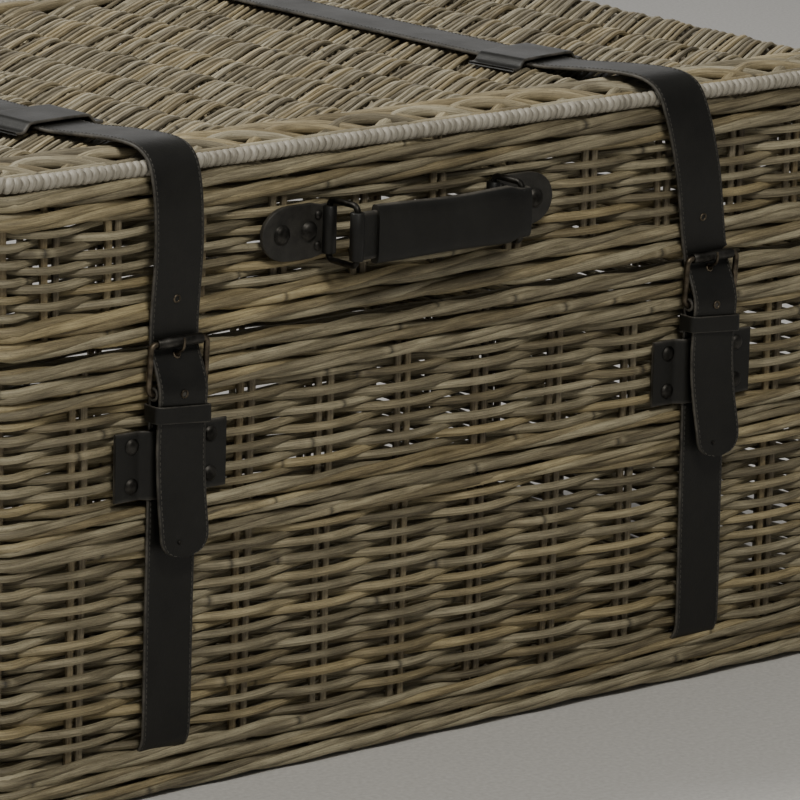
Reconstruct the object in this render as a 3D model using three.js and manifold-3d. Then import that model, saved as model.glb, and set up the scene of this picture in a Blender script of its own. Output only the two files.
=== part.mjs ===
// Wicker storage trunk: woven base and hinged woven lid, two buckled leather straps, one carrying handle.
// Millimetres. +X to the right, +Y towards the back, +Z up. The origin is the middle of the underside.
// Along the front face, "out" is the distance that a point stands in front of the woven wall.

import * as THREE from "three";
import { mergeVertices } from "three/addons/utils/BufferGeometryUtils.js";
import Module from "manifold-3d";

const manifold = await Module();
manifold.setup();

// ---------------------------------------------------------------- overall sizes
const wallLength = 804; // outside of the woven walls, along X
const wallDepth = 556; // outside of the woven walls, along Y
const baseHeight = 321; // underside to the top edge of the base
const lidHeight = 128; // lower edge of the lid to the top of its rim
const seamGap = 1; // air between the base and the closed lid
const wallThickness = 16;
const cornerRadius = 24; // plan radius of the walls' outer corners
const floorThickness = 12;
const fitGap = 0.3; // air between pieces that touch

// ---------------------------------------------------------------- wale bands
const bandProud = 2; // how far a band stands out of the wall
const bandSunk = 7; // how deep a band is let into the wall
const footBandHeight = 38;
const middleBandHeight = 34;
const baseRimBandHeight = 37;
const wallBetweenBands = 72; // bare wall between the middle band and the base's rim band
const lidLowerBandHeight = 29;
const lidUpperBandHeight = 28;

// ---------------------------------------------------------------- lid top
const rimRodRadius = 5.2; // cane-wrapped rod along the lid's top edge
const rimRodInset = 4; // wall face to the rod's centre line
const rimCornerRadius = 20; // centre-line radius of the rod at the corners
const lidPanelThickness = 8.4;

// ---------------------------------------------------------------- rear hinge
const hingeRodRadius = 7;
const hingeRodLength = 700;
const hingeLoopSpacing = 290; // middle loop to each outer loop
const hingeLoopWidth = 12;
const hingeLoopThickness = 3;
const hingeRunningGap = 0.5; // rod to loop
const hingeSwingGap = 1.2; // loop to the lid's lower band
const hingeTongueThickness = 2.6; // the loop's tail, tucked into the base's rim band
const hingeTongueShort = 1.5; // the tail stops this far before the back of that band

// ---------------------------------------------------------------- straps
const strapCentre = 252; // each side of the middle
const strapWidth = 42;
const strapThickness = 2.6;
const strapSeat = 0.4; // air between a strap and the bands under it
const strapClearance = 0.4; // air between a strap and what passes over or under it
const strapCrest = 5.5; // middle of the strap's thickness above the rim, on the lid's top
const strapBulge = 10; // how far the slack strap stands out over the lid's front
const strapHump = 10; // how high the slack strap stands over the front rim
// sideways drift of each over-strap at the rim, at its keeper and at the back
const strapDrift = {
  left: { rim: -4, keeper: -10, back: -12 },
  right: { rim: -34, keeper: -66, back: -76 },
};

// ---------------------------------------------------------------- strap patches and rivets
const patchWing = 27; // how far a patch shows beside its strap
const patchHeight = 49;
const patchThickness = 2.5;
const patchBelowRimBand = 19;
const patchRivetInset = 14; // patch edge to rivet, along X
const patchRivetSpacing = 28; // along Z
const flangeSeat = 0.4; // air behind a leather plate
const rivetHeadRadius = 5.5;
const rivetHeadHeight = 2.6;
const rivetShankRadius = 2;

// ---------------------------------------------------------------- keepers on the lid's top
const keeperWidth = 82; // across the strap
const keeperLength = 50; // along the strap
const keeperFromFront = 112;
const keeperTurn = { left: 3, right: 8 }; // degrees, to lie along its strap
const keeperSideGap = 7; // strap edge to the keeper's channel
const keeperHeadroom = 0.8; // strap to the roof of that channel

// ---------------------------------------------------------------- buckles
const buckleWireRadius = 2.2;
const buckleSideGap = 1; // strap edge to frame
const buckleHeight = 35; // heel bar to roller bar, centre to centre
const buckleCornerRadius = 4;
const heelBarAboveRimBand = 6; // heel bar above the lower edge of the base's rim band
const barRunningGap = 0.35; // a bar in its leather fold, roller or prong eye
const rollerThickness = 1.25;
const rollerShort = 0.7; // each end of the roller to the frame's corner
const chapeShort = 0.2; // each end of the heel fold to the frame's corner
const prongRadius = 1.6;
const prongEyeWidth = 6;
const prongEyeThickness = 2.05;
const prongSideGap = 0.6; // prong eye to the slot in the heel fold
const prongHoleGap = 0.6;

// ---------------------------------------------------------------- leather loops below the buckles
const loopHeight = 15;
const loopThickness = 1.6;
const loopSideGap = 0.8;
const loopBelowRimBand = 1.5; // at rest, below the lower edge of the base's rim band

// ---------------------------------------------------------------- strap ends
const strapEndLength = 147; // below the lid
const strapEndSteps = 22;

// ---------------------------------------------------------------- handle
const handleMiddle = -44; // along X
const handleBarSpacing = 150; // between the two rings' hinge bars
const handleCentreAboveLid = 64.5; // above the lid's lower edge
const ringWireRadius = 2.25;
const ringHeight = 42.5; // bar to bar, along Z
const ringDepth = 30; // hinge bar to grip bar
const ringCornerRadius = 4;
const hingeBarOut = 5.9; // hinge bar's centre in front of the wall
const tabLength = 58; // hinge bar to the tab's round end
const tabHeight = 45;
const tabThickness = 4; // two layers of leather
const tabNeckLength = 8; // where the tab is narrow, beside its bar
const tabShoulder = 3; // from the neck to the tab's full height
const foldHeight = 34; // leather folds round the rings' bars
const foldThickness = 2.5; // leather round a ring's bar
const largeRivetRadius = 7;
const largeRivetHeight = 3.4;
const largeRivetPlaces = [17, 41]; // from the hinge bar
const smallRivetRadius = 3.2;
const smallRivetHeight = 1.8;
const smallRivetPlace = 9; // from the hinge bar
const smallRivetSpread = 11; // each side of the tab's middle
const gripCoreThickness = 5;
const gripSleeveHeight = 41;
const gripSleeveThickness = 11;
const gripFoldLength = 12; // where the grip's core thickens round its bars
const gripSleeveInset = { left: 18, right: 12.5 }; // grip bars to the sleeve's ends

// ---------------------------------------------------------------- curve fineness
const cornerSegments = 5;
const wireSides = 8;
const roundSides = 12;
const rivetSides = 10;
const elbowSteps = 3;

// ================================================================ worked-out places
const halfLength = wallLength / 2;
const halfDepth = wallDepth / 2;
const frontFace = -halfDepth;
const lidBottom = baseHeight + seamGap;
const rimTop = lidBottom + lidHeight;
const rimRodCentre = rimTop - rimRodRadius;
const lidWallTop = rimTop - 2 * rimRodRadius - fitGap;
const lidPanelTop = lidWallTop + fitGap + lidPanelThickness;
const baseRimBandBottom = baseHeight - baseRimBandHeight;
const strapMiddleOut = bandProud + strapSeat + strapThickness / 2;
const strapOuterOut = strapMiddleOut + strapThickness / 2;
const middleBandBottom = baseRimBandBottom - wallBetweenBands - middleBandHeight;
const patchWidth = strapWidth + 2 * patchWing;
const patchBottom = baseRimBandBottom - patchBelowRimBand - patchHeight;
const barrelRadius = buckleWireRadius + barRunningGap + strapThickness;
const heelBarOut = bandProud + strapSeat + barrelRadius;
const heelBarHeight = baseRimBandBottom + heelBarAboveRimBand;
const rollerRadius = buckleWireRadius + barRunningGap + rollerThickness;
const rollerOut = strapOuterOut + strapClearance + 0.2 + rollerRadius;
const rollerHeight = heelBarHeight + buckleHeight;
const frameHalfWidth = strapWidth / 2 + buckleSideGap + buckleWireRadius;
const hingeAxisY = halfDepth + bandProud + fitGap + hingeRodRadius;
const hingeAxisZ = baseHeight + seamGap / 2;
const handleHeight = lidBottom + handleCentreAboveLid;
const ringFoldRadius = ringWireRadius + barRunningGap + foldThickness;

// ================================================================ materials
const finishes = {
  rattan: { color: 0x7d7159, roughness: 0.75, metalness: 0 },
  band: { color: 0x857a62, roughness: 0.72, metalness: 0 },
  cane: { color: 0x98948a, roughness: 0.6, metalness: 0 },
  leather: { color: 0x25211e, roughness: 0.55, metalness: 0 },
  metal: { color: 0x2c2a27, roughness: 0.35, metalness: 1 },
  bronze: { color: 0x4a3f31, roughness: 0.4, metalness: 1 },
};

// ================================================================ building blocks
const trunk = new THREE.Group();

function addPiece(name, geometry, finish) {
  const mesh = new THREE.Mesh(geometry, new THREE.MeshStandardMaterial(finishes[finish]));
  mesh.name = name;
  trunk.add(mesh);
  return mesh;
}

function solidOf(geometry) {
  const bare = geometry.clone();
  bare.deleteAttribute("normal");
  bare.deleteAttribute("uv");
  const merged = mergeVertices(bare, 1e-4);
  const vertProperties = new Float32Array(merged.attributes.position.array);
  const triVerts = new Uint32Array(merged.index.array);
  return new manifold.Manifold(new manifold.Mesh({ numProp: 3, vertProperties, triVerts }));
}

function geometryOf(solid) {
  const mesh = solid.getMesh();
  const geometry = new THREE.BufferGeometry();
  geometry.setAttribute("position", new THREE.BufferAttribute(mesh.vertProperties, 3));
  geometry.setIndex(new THREE.BufferAttribute(mesh.triVerts, 1));
  geometry.computeVertexNormals();
  return geometry;
}

function cut(geometry, ...tools) {
  return geometryOf(tools.reduce((solid, tool) => solid.subtract(solidOf(tool)), solidOf(geometry)));
}

function join(first, ...others) {
  return geometryOf(others.reduce((solid, other) => solid.add(solidOf(other)), solidOf(first)));
}

function extrude(shape, depth) {
  return new THREE.ExtrudeGeometry(shape, { depth, bevelEnabled: false, curveSegments: cornerSegments });
}

// A plan outline (x, y) raised from one height to another.
function raise(plan, bottom, top) {
  return extrude(plan, top - bottom).translate(0, 0, bottom);
}

// A profile (y, z) drawn out along X.
function drawAlongX(profile, left, right) {
  const turn = new THREE.Matrix4().makeBasis(
    new THREE.Vector3(0, 1, 0),
    new THREE.Vector3(0, 0, 1),
    new THREE.Vector3(1, 0, 0),
  );
  return extrude(profile, right - left).applyMatrix4(turn).translate(left, 0, 0);
}

// An outline (x, z) on the front face, standing from one distance out to another.
function standOut(outline, innerOut, outerOut) {
  return extrude(outline, outerOut - innerOut).rotateX(Math.PI / 2).translate(0, frontFace - innerOut, 0);
}

function box(xLow, xHigh, yLow, yHigh, zLow, zHigh) {
  const geometry = new THREE.BoxGeometry(xHigh - xLow, yHigh - yLow, zHigh - zLow);
  return geometry.translate((xLow + xHigh) / 2, (yLow + yHigh) / 2, (zLow + zHigh) / 2);
}

function rectangle(xLow, xHigh, yLow, yHigh) {
  const shape = new THREE.Shape();
  shape.moveTo(xLow, yLow);
  shape.lineTo(xHigh, yLow);
  shape.lineTo(xHigh, yHigh);
  shape.lineTo(xLow, yHigh);
  return shape;
}

function roundedRectangle(length, depth, radius) {
  const x = length / 2 - radius;
  const y = depth / 2 - radius;
  const shape = new THREE.Shape();
  shape.absarc(x, -y, radius, -Math.PI / 2, 0, false);
  shape.absarc(x, y, radius, 0, Math.PI / 2, false);
  shape.absarc(-x, y, radius, Math.PI / 2, Math.PI, false);
  shape.absarc(-x, -y, radius, Math.PI, Math.PI * 1.5, false);
  return shape;
}

function disc(radius) {
  const shape = new THREE.Shape();
  shape.absarc(0, 0, radius, 0, Math.PI * 2, false);
  return shape;
}

// A rod or tube along X, from one x to another, about the line (y, z). An inner radius of 0 gives a rod.
function roundAlongX(outer, inner, left, right, y, z) {
  const profile = inner
    ? [[inner, left], [outer, left], [outer, right], [inner, right], [inner, left]]
    : [[0, left], [outer, left], [outer, right], [0, right]];
  const points = profile.map(([radius, x]) => new THREE.Vector2(radius, x));
  return new THREE.LatheGeometry(points, roundSides).rotateZ(-Math.PI / 2).translate(0, y, z);
}

// The same along Z, about the line (x, y).
function roundAlongZ(outer, inner, bottom, top, x, y) {
  return roundAlongX(outer, inner, bottom, top, 0, 0).rotateY(-Math.PI / 2).translate(x, y, 0);
}

class ClosedPolyline extends THREE.Curve {
  constructor(points) {
    super();
    this.points = points;
  }
  corner(index) {
    const count = this.points.length;
    return this.points[(index + count) % count];
  }
  getPoint(share) {
    return this.corner(Math.round(share * this.points.length)).clone();
  }
  getTangent(share) {
    const index = Math.round(share * this.points.length);
    return this.corner(index + 1).clone().sub(this.corner(index - 1)).normalize();
  }
  getUtoTmapping(share) {
    return share;
  }
}

// A closed wire loop in the XY plane with rounded corners. width and height are centre to centre.
function wireLoop(width, height, cornerCurve, wireRadius) {
  const points = [];
  for (const [signX, signY, quarter] of [[1, -1, -1], [1, 1, 0], [-1, 1, 1], [-1, -1, 2]]) {
    for (let step = 0; step <= elbowSteps; step++) {
      const angle = ((quarter + step / elbowSteps) * Math.PI) / 2;
      const x = signX * (width / 2 - cornerCurve) + cornerCurve * Math.cos(angle);
      const y = signY * (height / 2 - cornerCurve) + cornerCurve * Math.sin(angle);
      points.push(new THREE.Vector3(x, y, 0));
    }
  }
  const section = [];
  for (let side = 0; side < wireSides; side++) {
    const angle = ((side + 0.5) / wireSides) * Math.PI * 2;
    section.push(new THREE.Vector2(Math.cos(angle), Math.sin(angle)).multiplyScalar(wireRadius));
  }
  const options = { extrudePath: new ClosedPolyline(points), steps: points.length };
  const tube = new THREE.ExtrudeGeometry(new THREE.Shape(section), options);
  // The tube's two end faces meet inside the loop, so only its side faces are kept.
  const [ends] = tube.groups;
  const places = tube.attributes.position.array.slice(3 * (ends.start + ends.count));
  const loop = new THREE.BufferGeometry().setAttribute("position", new THREE.BufferAttribute(places, 3));
  loop.computeVertexNormals();
  return loop;
}

// The centre line of a strap through the points (x, y, z). Its width always lies along X.
class StrapPath extends THREE.Curve {
  constructor(points) {
    super();
    this.points = points;
  }
  getPoint(share) {
    return this.points[Math.round(share * (this.points.length - 1))].clone();
  }
  getUtoTmapping(share) {
    return share;
  }
  computeFrenetFrames(steps) {
    const frames = { tangents: [], normals: [], binormals: [] };
    const across = new THREE.Vector3(1, 0, 0);
    for (let index = 0; index <= steps; index++) {
      const before = this.points[Math.max(index - 1, 0)];
      const after = this.points[Math.min(index + 1, steps)];
      const along = after.clone().sub(before).setX(0).normalize();
      frames.tangents.push(along);
      frames.normals.push(across);
      frames.binormals.push(along.clone().cross(across));
    }
    return frames;
  }
}

// A flat strap along a centre line of points (y, z). placeAcross gives its x at each point.
function strap(centreLine, placeAcross) {
  const points = centreLine.map(({ x: y, y: z }) => new THREE.Vector3(placeAcross(y, z), y, z));
  const half = strapThickness / 2;
  const section = rectangle(-strapWidth / 2, strapWidth / 2, -half, half);
  const options = { extrudePath: new StrapPath(points), steps: points.length - 1 };
  return new THREE.ExtrudeGeometry(section, options);
}

function spline(points, steps) {
  return new THREE.SplineCurve(points.map(([y, z]) => new THREE.Vector2(y, z))).getSpacedPoints(steps);
}

// A domed rivet that stands out from the front face: shank from innerOut, head seated at seatOut.
function rivet(x, z, innerOut, seatOut, headRadius, headHeight, shankRadius) {
  const points = [[0, innerOut], [shankRadius, innerOut], [shankRadius, seatOut], [headRadius, seatOut]];
  for (const share of [0.4, 0.75]) {
    const angle = (share * Math.PI) / 2;
    points.push([headRadius * Math.cos(angle), seatOut + headHeight * Math.sin(angle)]);
  }
  points.push([0, seatOut + headHeight]);
  const profile = points.map(([radius, out]) => new THREE.Vector2(radius, out));
  return new THREE.LatheGeometry(profile, rivetSides).rotateX(Math.PI).translate(x, frontFace, z);
}

function rivetHole(x, z, shankRadius) {
  const reach = 20;
  const hole = new THREE.CylinderGeometry(shankRadius + fitGap, shankRadius + fitGap, reach, rivetSides);
  return hole.translate(x, frontFace, z);
}

// ================================================================ woven walls and bands
function longWallPlan() {
  const x = halfLength - cornerRadius;
  const y = halfDepth - cornerRadius;
  const inner = cornerRadius - wallThickness;
  const plan = new THREE.Shape();
  plan.absarc(-x, -y, cornerRadius, Math.PI, Math.PI * 1.5, false);
  plan.absarc(x, -y, cornerRadius, Math.PI * 1.5, Math.PI * 2, false);
  plan.absarc(x, -y, inner, 0, -Math.PI / 2, true);
  plan.absarc(-x, -y, inner, Math.PI * 1.5, Math.PI, true);
  return plan;
}

function endWallPlan() {
  const y = halfDepth - cornerRadius - fitGap;
  return rectangle(-halfLength, -halfLength + wallThickness, -y, y);
}

// A band round all four walls. A grown band is the cutter for its own seat.
function band(bottom, top, growth = 0) {
  const reach = 2 * (bandProud + growth);
  const plan = roundedRectangle(wallLength + reach, wallDepth + reach, cornerRadius + bandProud + growth);
  const sunk = bandSunk + growth;
  plan.holes.push(roundedRectangle(wallLength - 2 * sunk, wallDepth - 2 * sunk, cornerRadius - sunk));
  return raise(plan, bottom - growth, top + growth);
}

function addWalls(prefix, bottom, top, bands) {
  const seats = bands.map(([low, high]) => band(low, high, fitGap));
  const longWall = cut(raise(longWallPlan(), bottom, top), ...seats);
  const endWall = cut(raise(endWallPlan(), bottom, top), ...seats);
  addPiece(`${prefix}_front_wall`, longWall, "rattan");
  addPiece(`${prefix}_back_wall`, longWall.clone().rotateZ(Math.PI), "rattan");
  addPiece(`${prefix}_left_wall`, endWall, "rattan");
  addPiece(`${prefix}_right_wall`, endWall.clone().rotateZ(Math.PI), "rattan");
}

function hingeLoopPlaces() {
  return [-hingeLoopSpacing, 0, hingeLoopSpacing];
}

// One loop of the rear hinge: a ring round the hinge rod with a tail let into the base's rim band.
function hingeLoop(x, growth = 0) {
  const outer = hingeRodRadius + hingeRunningGap + hingeLoopThickness + growth;
  const inner = growth ? 0 : hingeRodRadius + hingeRunningGap;
  const left = x - hingeLoopWidth / 2 - growth;
  const right = x + hingeLoopWidth / 2 + growth;
  const ring = roundAlongX(outer, inner, left, right, hingeAxisY, hingeAxisZ);
  const tailTip = halfDepth - bandSunk + hingeTongueShort - growth;
  const tailBottom = hingeAxisZ - outer + growth;
  const tailTop = tailBottom + hingeTongueThickness;
  const tail = box(left, right, tailTip, hingeAxisY, tailBottom - growth, tailTop + growth);
  return join(ring, tail);
}

function hingeScoop(x) {
  const radius = hingeRodRadius + hingeRunningGap + hingeLoopThickness + hingeSwingGap;
  const reach = hingeLoopWidth / 2 + hingeSwingGap;
  return roundAlongX(radius, 0, x - reach, x + reach, hingeAxisY, hingeAxisZ);
}

function addBase() {
  const rimBand = [baseRimBandBottom, baseHeight];
  const middleBand = [middleBandBottom, middleBandBottom + middleBandHeight];
  const footBand = [0, footBandHeight];
  addWalls("base", 0, baseHeight, [footBand, middleBand, rimBand]);
  addPiece("foot_band", band(...footBand), "band");
  addPiece("base_middle_band", band(...middleBand), "band");
  const slots = hingeLoopPlaces().map((x) => hingeLoop(x, fitGap));
  addPiece("base_rim_band", cut(band(...rimBand), ...slots), "band");
  const inside = 2 * (wallThickness + fitGap);
  const floorRadius = cornerRadius - wallThickness;
  const floorPlan = roundedRectangle(wallLength - inside, wallDepth - inside, floorRadius);
  addPiece("base_floor", raise(floorPlan, 0, floorThickness), "rattan");
  const names = ["left", "middle", "right"];
  hingeLoopPlaces().forEach((x, index) => addPiece(`hinge_loop_${names[index]}`, hingeLoop(x), "cane"));
}

function addLid() {
  const lowerBand = [lidBottom, lidBottom + lidLowerBandHeight];
  const upperBand = [lidWallTop - lidUpperBandHeight, lidWallTop];
  addWalls("lid", lidBottom, lidWallTop, [lowerBand, upperBand]);
  const scoops = hingeLoopPlaces().map(hingeScoop);
  addPiece("lid_lower_band", cut(band(...lowerBand), ...scoops), "band");
  addPiece("lid_upper_band", band(...upperBand), "band");
  const inset = 2 * (rimRodInset + rimRodRadius + fitGap);
  const panelRadius = rimCornerRadius - rimRodRadius - fitGap;
  const panelPlan = roundedRectangle(wallLength - inset, wallDepth - inset, panelRadius);
  addPiece("lid_top_panel", raise(panelPlan, lidWallTop + fitGap, lidPanelTop), "rattan");
  const rodLength = wallLength - 2 * rimRodInset;
  const rodDepth = wallDepth - 2 * rimRodInset;
  const rod = wireLoop(rodLength, rodDepth, rimCornerRadius, rimRodRadius);
  addPiece("rim_binding", rod.translate(0, 0, rimRodCentre), "cane");
  const rodEnd = hingeRodLength / 2;
  const hingeRod = roundAlongX(hingeRodRadius, 0, -rodEnd, rodEnd, hingeAxisY, hingeAxisZ);
  addPiece("hinge_rod", hingeRod, "rattan");
}

// ================================================================ straps
const sides = { left: -1, right: 1 };

// Centre line of an over-strap, from the seam at the front, over the lid, to the lid's lower band at the back.
function overStrapLine() {
  const crest = rimTop + strapCrest - strapThickness / 2;
  const front = [
    [strapMiddleOut, lidBottom + 1],
    [strapMiddleOut + 0.6, lidBottom + 20],
    [strapBulge - 0.6, lidBottom + 62],
    [strapBulge, lidBottom + 92],
    [strapBulge - 2, lidBottom + 113],
    [strapBulge - 7, rimTop],
    [-8, rimTop + strapHump - 2.2],
    [-26, rimTop + strapHump],
    [-keeperFromFront / 2, rimTop + strapHump - 1.6],
    [22 - keeperFromFront, crest + 1],
    [8 - keeperFromFront, crest],
    [-keeperFromFront, crest],
  ].map(([out, z]) => [frontFace - out, z]);
  const backBottom = lidBottom + lidLowerBandHeight + fitGap;
  const back = [
    [halfDepth - 40, crest],
    [halfDepth - 18, crest],
    [halfDepth - 5, rimTop + 3.4],
    [halfDepth + 2.6, rimTop - 2],
    [halfDepth + strapMiddleOut, rimTop - 10],
    [halfDepth + strapMiddleOut, rimTop - 24],
  ];
  const top = new THREE.LineCurve(
    new THREE.Vector2(frontFace + keeperFromFront, crest),
    new THREE.Vector2(halfDepth - 40, crest),
  );
  const tuckedEnd = new THREE.Vector2(halfDepth + strapMiddleOut, backBottom);
  return [...spline(front, 26), ...top.getPoints(16).slice(1, -1), ...spline(back, 10), tuckedEnd];
}

// How far an over-strap has drifted sideways at a point (y, z) of its run.
function driftAt(drift, y, z) {
  const run = z - lidBottom + Math.max(0, y - frontFace);
  const stations = [
    [0, 0],
    [lidHeight, drift.rim],
    [lidHeight + keeperFromFront + keeperLength / 2, drift.keeper],
    [wallDepth, drift.back],
  ];
  if (run >= wallDepth) return drift.back;
  const next = Math.max(1, stations.findIndex(([reach]) => reach > run));
  const [runBefore, before] = stations[next - 1];
  const [runAfter, after] = stations[next];
  return before + ((after - before) * (Math.max(run, 0) - runBefore)) / (runAfter - runBefore);
}

function overStrap(centre, drift) {
  return strap(overStrapLine(), (y, z) => centre + driftAt(drift, y, z));
}

// A leather plate riveted over a strap: two flanges and a raised middle. Drawn as (across, out).
function plateProfile(width, channelHalfWidth, channelOut, thickness) {
  const half = width / 2;
  const raisedHalf = channelHalfWidth + thickness;
  const flangeTop = flangeSeat + thickness;
  const corners = [
    [half, flangeSeat],
    [half, flangeTop],
    [raisedHalf, flangeTop],
    [raisedHalf, channelOut + thickness],
  ];
  const inner = [
    [channelHalfWidth, channelOut],
    [channelHalfWidth, flangeSeat],
  ];
  const mirror = (points) => points.map(([x, out]) => [-x, out]).reverse();
  return [...corners, ...mirror(corners), ...mirror(inner), ...inner];
}

function topKeeper(side) {
  const drift = strapDrift[side];
  const channelOut = rimTop + strapCrest + keeperHeadroom - lidPanelTop;
  const profile = plateProfile(keeperWidth, strapWidth / 2 + keeperSideGap, channelOut, patchThickness);
  const plate = extrude(new THREE.Shape(profile.map(([x, out]) => new THREE.Vector2(x, out))), keeperLength);
  plate.rotateX(Math.PI / 2).translate(0, keeperLength / 2, 0);
  plate.rotateZ(THREE.MathUtils.degToRad(keeperTurn[side]));
  const y = frontFace + keeperFromFront + keeperLength / 2;
  return plate.translate(sides[side] * strapCentre + drift.keeper, y, lidPanelTop);
}

function lowerStrap(centre) {
  const bottom = footBandHeight + fitGap;
  const inner = frontFace - bandProud - strapSeat;
  const half = strapWidth / 2;
  const foot = heelBarHeight - barrelRadius;
  const flat = box(centre - half, centre + half, inner - strapThickness, inner, bottom, foot);
  const foldHalf = frameHalfWidth - buckleCornerRadius - chapeShort;
  const [left, right] = [centre - foldHalf, centre + foldHalf];
  const neck = box(left, right, inner - strapThickness, inner, foot - 1, heelBarHeight);
  const heelY = frontFace - heelBarOut;
  const fold = roundAlongX(barrelRadius, 0, left, right, heelY, heelBarHeight);
  const bore = buckleWireRadius + barRunningGap;
  const barHole = roundAlongX(bore, 0, centre - strapWidth, centre + strapWidth, heelY, heelBarHeight);
  const slotHalf = prongEyeWidth / 2 + prongSideGap;
  const slot = box(
    centre - slotHalf, centre + slotHalf, heelY - 2 * barrelRadius, heelY + 2 * barrelRadius,
    foot - prongSideGap, heelBarHeight + 2 * barrelRadius,
  );
  return cut(join(flat, neck, fold), barHole, slot);
}

function strapPatch(centre) {
  const channelOut = strapOuterOut + strapClearance;
  const profile = plateProfile(patchWidth, strapWidth / 2 + strapClearance, channelOut, patchThickness);
  const plan = new THREE.Shape(profile.map(([x, out]) => new THREE.Vector2(centre + x, frontFace - out)));
  const holes = patchRivetPlaces(centre).map(([x, z]) => rivetHole(x, z, rivetShankRadius));
  return cut(raise(plan, patchBottom, patchBottom + patchHeight), ...holes);
}

function patchRivetPlaces(centre) {
  const across = patchWidth / 2 - patchRivetInset;
  const middle = patchBottom + patchHeight / 2;
  const up = patchRivetSpacing / 2;
  return [
    [centre - across, middle + up],
    [centre - across, middle - up],
    [centre + across, middle + up],
    [centre + across, middle - up],
  ];
}

// ================================================================ buckles
function buckleTilt() {
  return Math.atan2(rollerOut - heelBarOut, rollerHeight - heelBarHeight);
}

function buckleFrame(centre) {
  const height = buckleHeight / Math.cos(buckleTilt());
  const loop = wireLoop(2 * frameHalfWidth, height, buckleCornerRadius, buckleWireRadius);
  loop.translate(0, height / 2, 0).rotateX(Math.PI / 2 + buckleTilt());
  return loop.translate(centre, frontFace - heelBarOut, heelBarHeight);
}

function buckleRoller(centre) {
  const half = frameHalfWidth - buckleCornerRadius - rollerShort;
  const bore = buckleWireRadius + barRunningGap;
  return roundAlongX(rollerRadius, bore, centre - half, centre + half, frontFace - rollerOut, rollerHeight);
}

// The prong rises behind the strap end, comes out through its hole and lies on the roller.
function prongTongue(centre, growth = 0) {
  const reach = rollerRadius + prongRadius + 0.6;
  const places = [
    [heelBarOut, heelBarHeight + buckleWireRadius + barRunningGap + 0.4 * prongEyeThickness],
    [heelBarOut - 0.4, heelBarHeight + 10],
    [heelBarOut + 0.2, heelBarHeight + 16.5],
    [rollerOut + 0.2, rollerHeight - 12],
    [rollerOut + 0.82 * reach, rollerHeight - 4.2],
    [rollerOut + reach, rollerHeight + 1],
    [rollerOut + 0.9 * reach, rollerHeight + 4.5],
  ];
  const points = places.map(([out, z]) => new THREE.Vector3(centre, frontFace - out, z));
  const section = disc(prongRadius + growth);
  const options = { extrudePath: new THREE.CatmullRomCurve3(points), steps: 12, curveSegments: 4 };
  return new THREE.ExtrudeGeometry(section, options);
}

function buckleProng(centre) {
  const bore = buckleWireRadius + barRunningGap;
  const half = prongEyeWidth / 2;
  const heelY = frontFace - heelBarOut;
  const eye = roundAlongX(bore + prongEyeThickness, bore, centre - half, centre + half, heelY, heelBarHeight);
  return join(eye, prongTongue(centre));
}

// Centre line (out, z) of the free strap end: behind the roller, out over the heel bar, and down its loop.
function strapEndLine() {
  const overHeel = heelBarOut + barrelRadius + strapClearance + strapThickness / 2;
  const tip = lidBottom - strapEndLength;
  const places = [
    [strapMiddleOut, lidBottom - fitGap],
    [strapMiddleOut + 0.4, lidBottom - 3],
    [overHeel - 3.6, heelBarHeight + 14.5],
    [overHeel + 0.3, heelBarHeight + 3],
    [overHeel, heelBarHeight - 8],
    [overHeel - 0.8, heelBarHeight - 20],
    [overHeel - 1.4, heelBarHeight - 42],
    [overHeel - 0.4, tip + 42],
    [overHeel + 1.6, tip + 18],
    [overHeel + 2.6, tip],
  ];
  return spline(places.map(([out, z]) => [frontFace - out, z]), strapEndSteps);
}

function strapEnd(centre) {
  const half = strapWidth / 2;
  const whole = strap(strapEndLine(), () => centre);
  const tip = lidBottom - strapEndLength;
  const tipShape = new THREE.Shape();
  tipShape.moveTo(centre + half, lidBottom + strapWidth);
  tipShape.lineTo(centre - half, lidBottom + strapWidth);
  tipShape.lineTo(centre - half, tip + half * 0.62);
  tipShape.quadraticCurveTo(centre - half, tip, centre, tip);
  tipShape.quadraticCurveTo(centre + half, tip, centre + half, tip + half * 0.62);
  const rounded = solidOf(whole).intersect(solidOf(standOut(tipShape, -strapWidth, strapWidth)));
  return cut(geometryOf(rounded), prongTongue(centre, prongHoleGap));
}

// The leather loop that holds the strap end down to the lower strap.
function keeperLoop(centre) {
  const innerHalf = strapWidth / 2 + loopSideGap;
  const innerBack = frontFace - bandProud - strapSeat + strapClearance;
  const overHeel = heelBarOut + barrelRadius + strapClearance + strapThickness;
  const innerFront = frontFace - overHeel - strapClearance;
  const half = innerHalf + loopThickness;
  const plan = rectangle(centre - half, centre + half, innerFront - loopThickness, innerBack + loopThickness);
  plan.holes.push(rectangle(centre - innerHalf, centre + innerHalf, innerFront, innerBack));
  const top = baseRimBandBottom - loopBelowRimBand;
  return raise(plan, top - loopHeight, top);
}

function addStrapSet(side) {
  const centre = sides[side] * strapCentre;
  addPiece(`over_strap_${side}`, overStrap(centre, strapDrift[side]), "leather");
  addPiece(`top_keeper_${side}`, topKeeper(side), "leather");
  addPiece(`strap_end_${side}`, strapEnd(centre), "leather");
  addPiece(`lower_strap_${side}`, lowerStrap(centre), "leather");
  addPiece(`strap_patch_${side}`, strapPatch(centre), "leather");
  patchRivetPlaces(centre).forEach(([x, z], index) => {
    const seat = flangeSeat + patchThickness + fitGap;
    const head = rivet(x, z, flangeSeat, seat, rivetHeadRadius, rivetHeadHeight, rivetShankRadius);
    addPiece(`patch_rivet_${side}_${index + 1}`, head, "metal");
  });
  addPiece(`buckle_frame_${side}`, buckleFrame(centre), "bronze");
  addPiece(`buckle_roller_${side}`, buckleRoller(centre), "metal");
  addPiece(`buckle_prong_${side}`, buckleProng(centre), "bronze");
  addPiece(`keeper_loop_${side}`, keeperLoop(centre), "leather");
}

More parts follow.
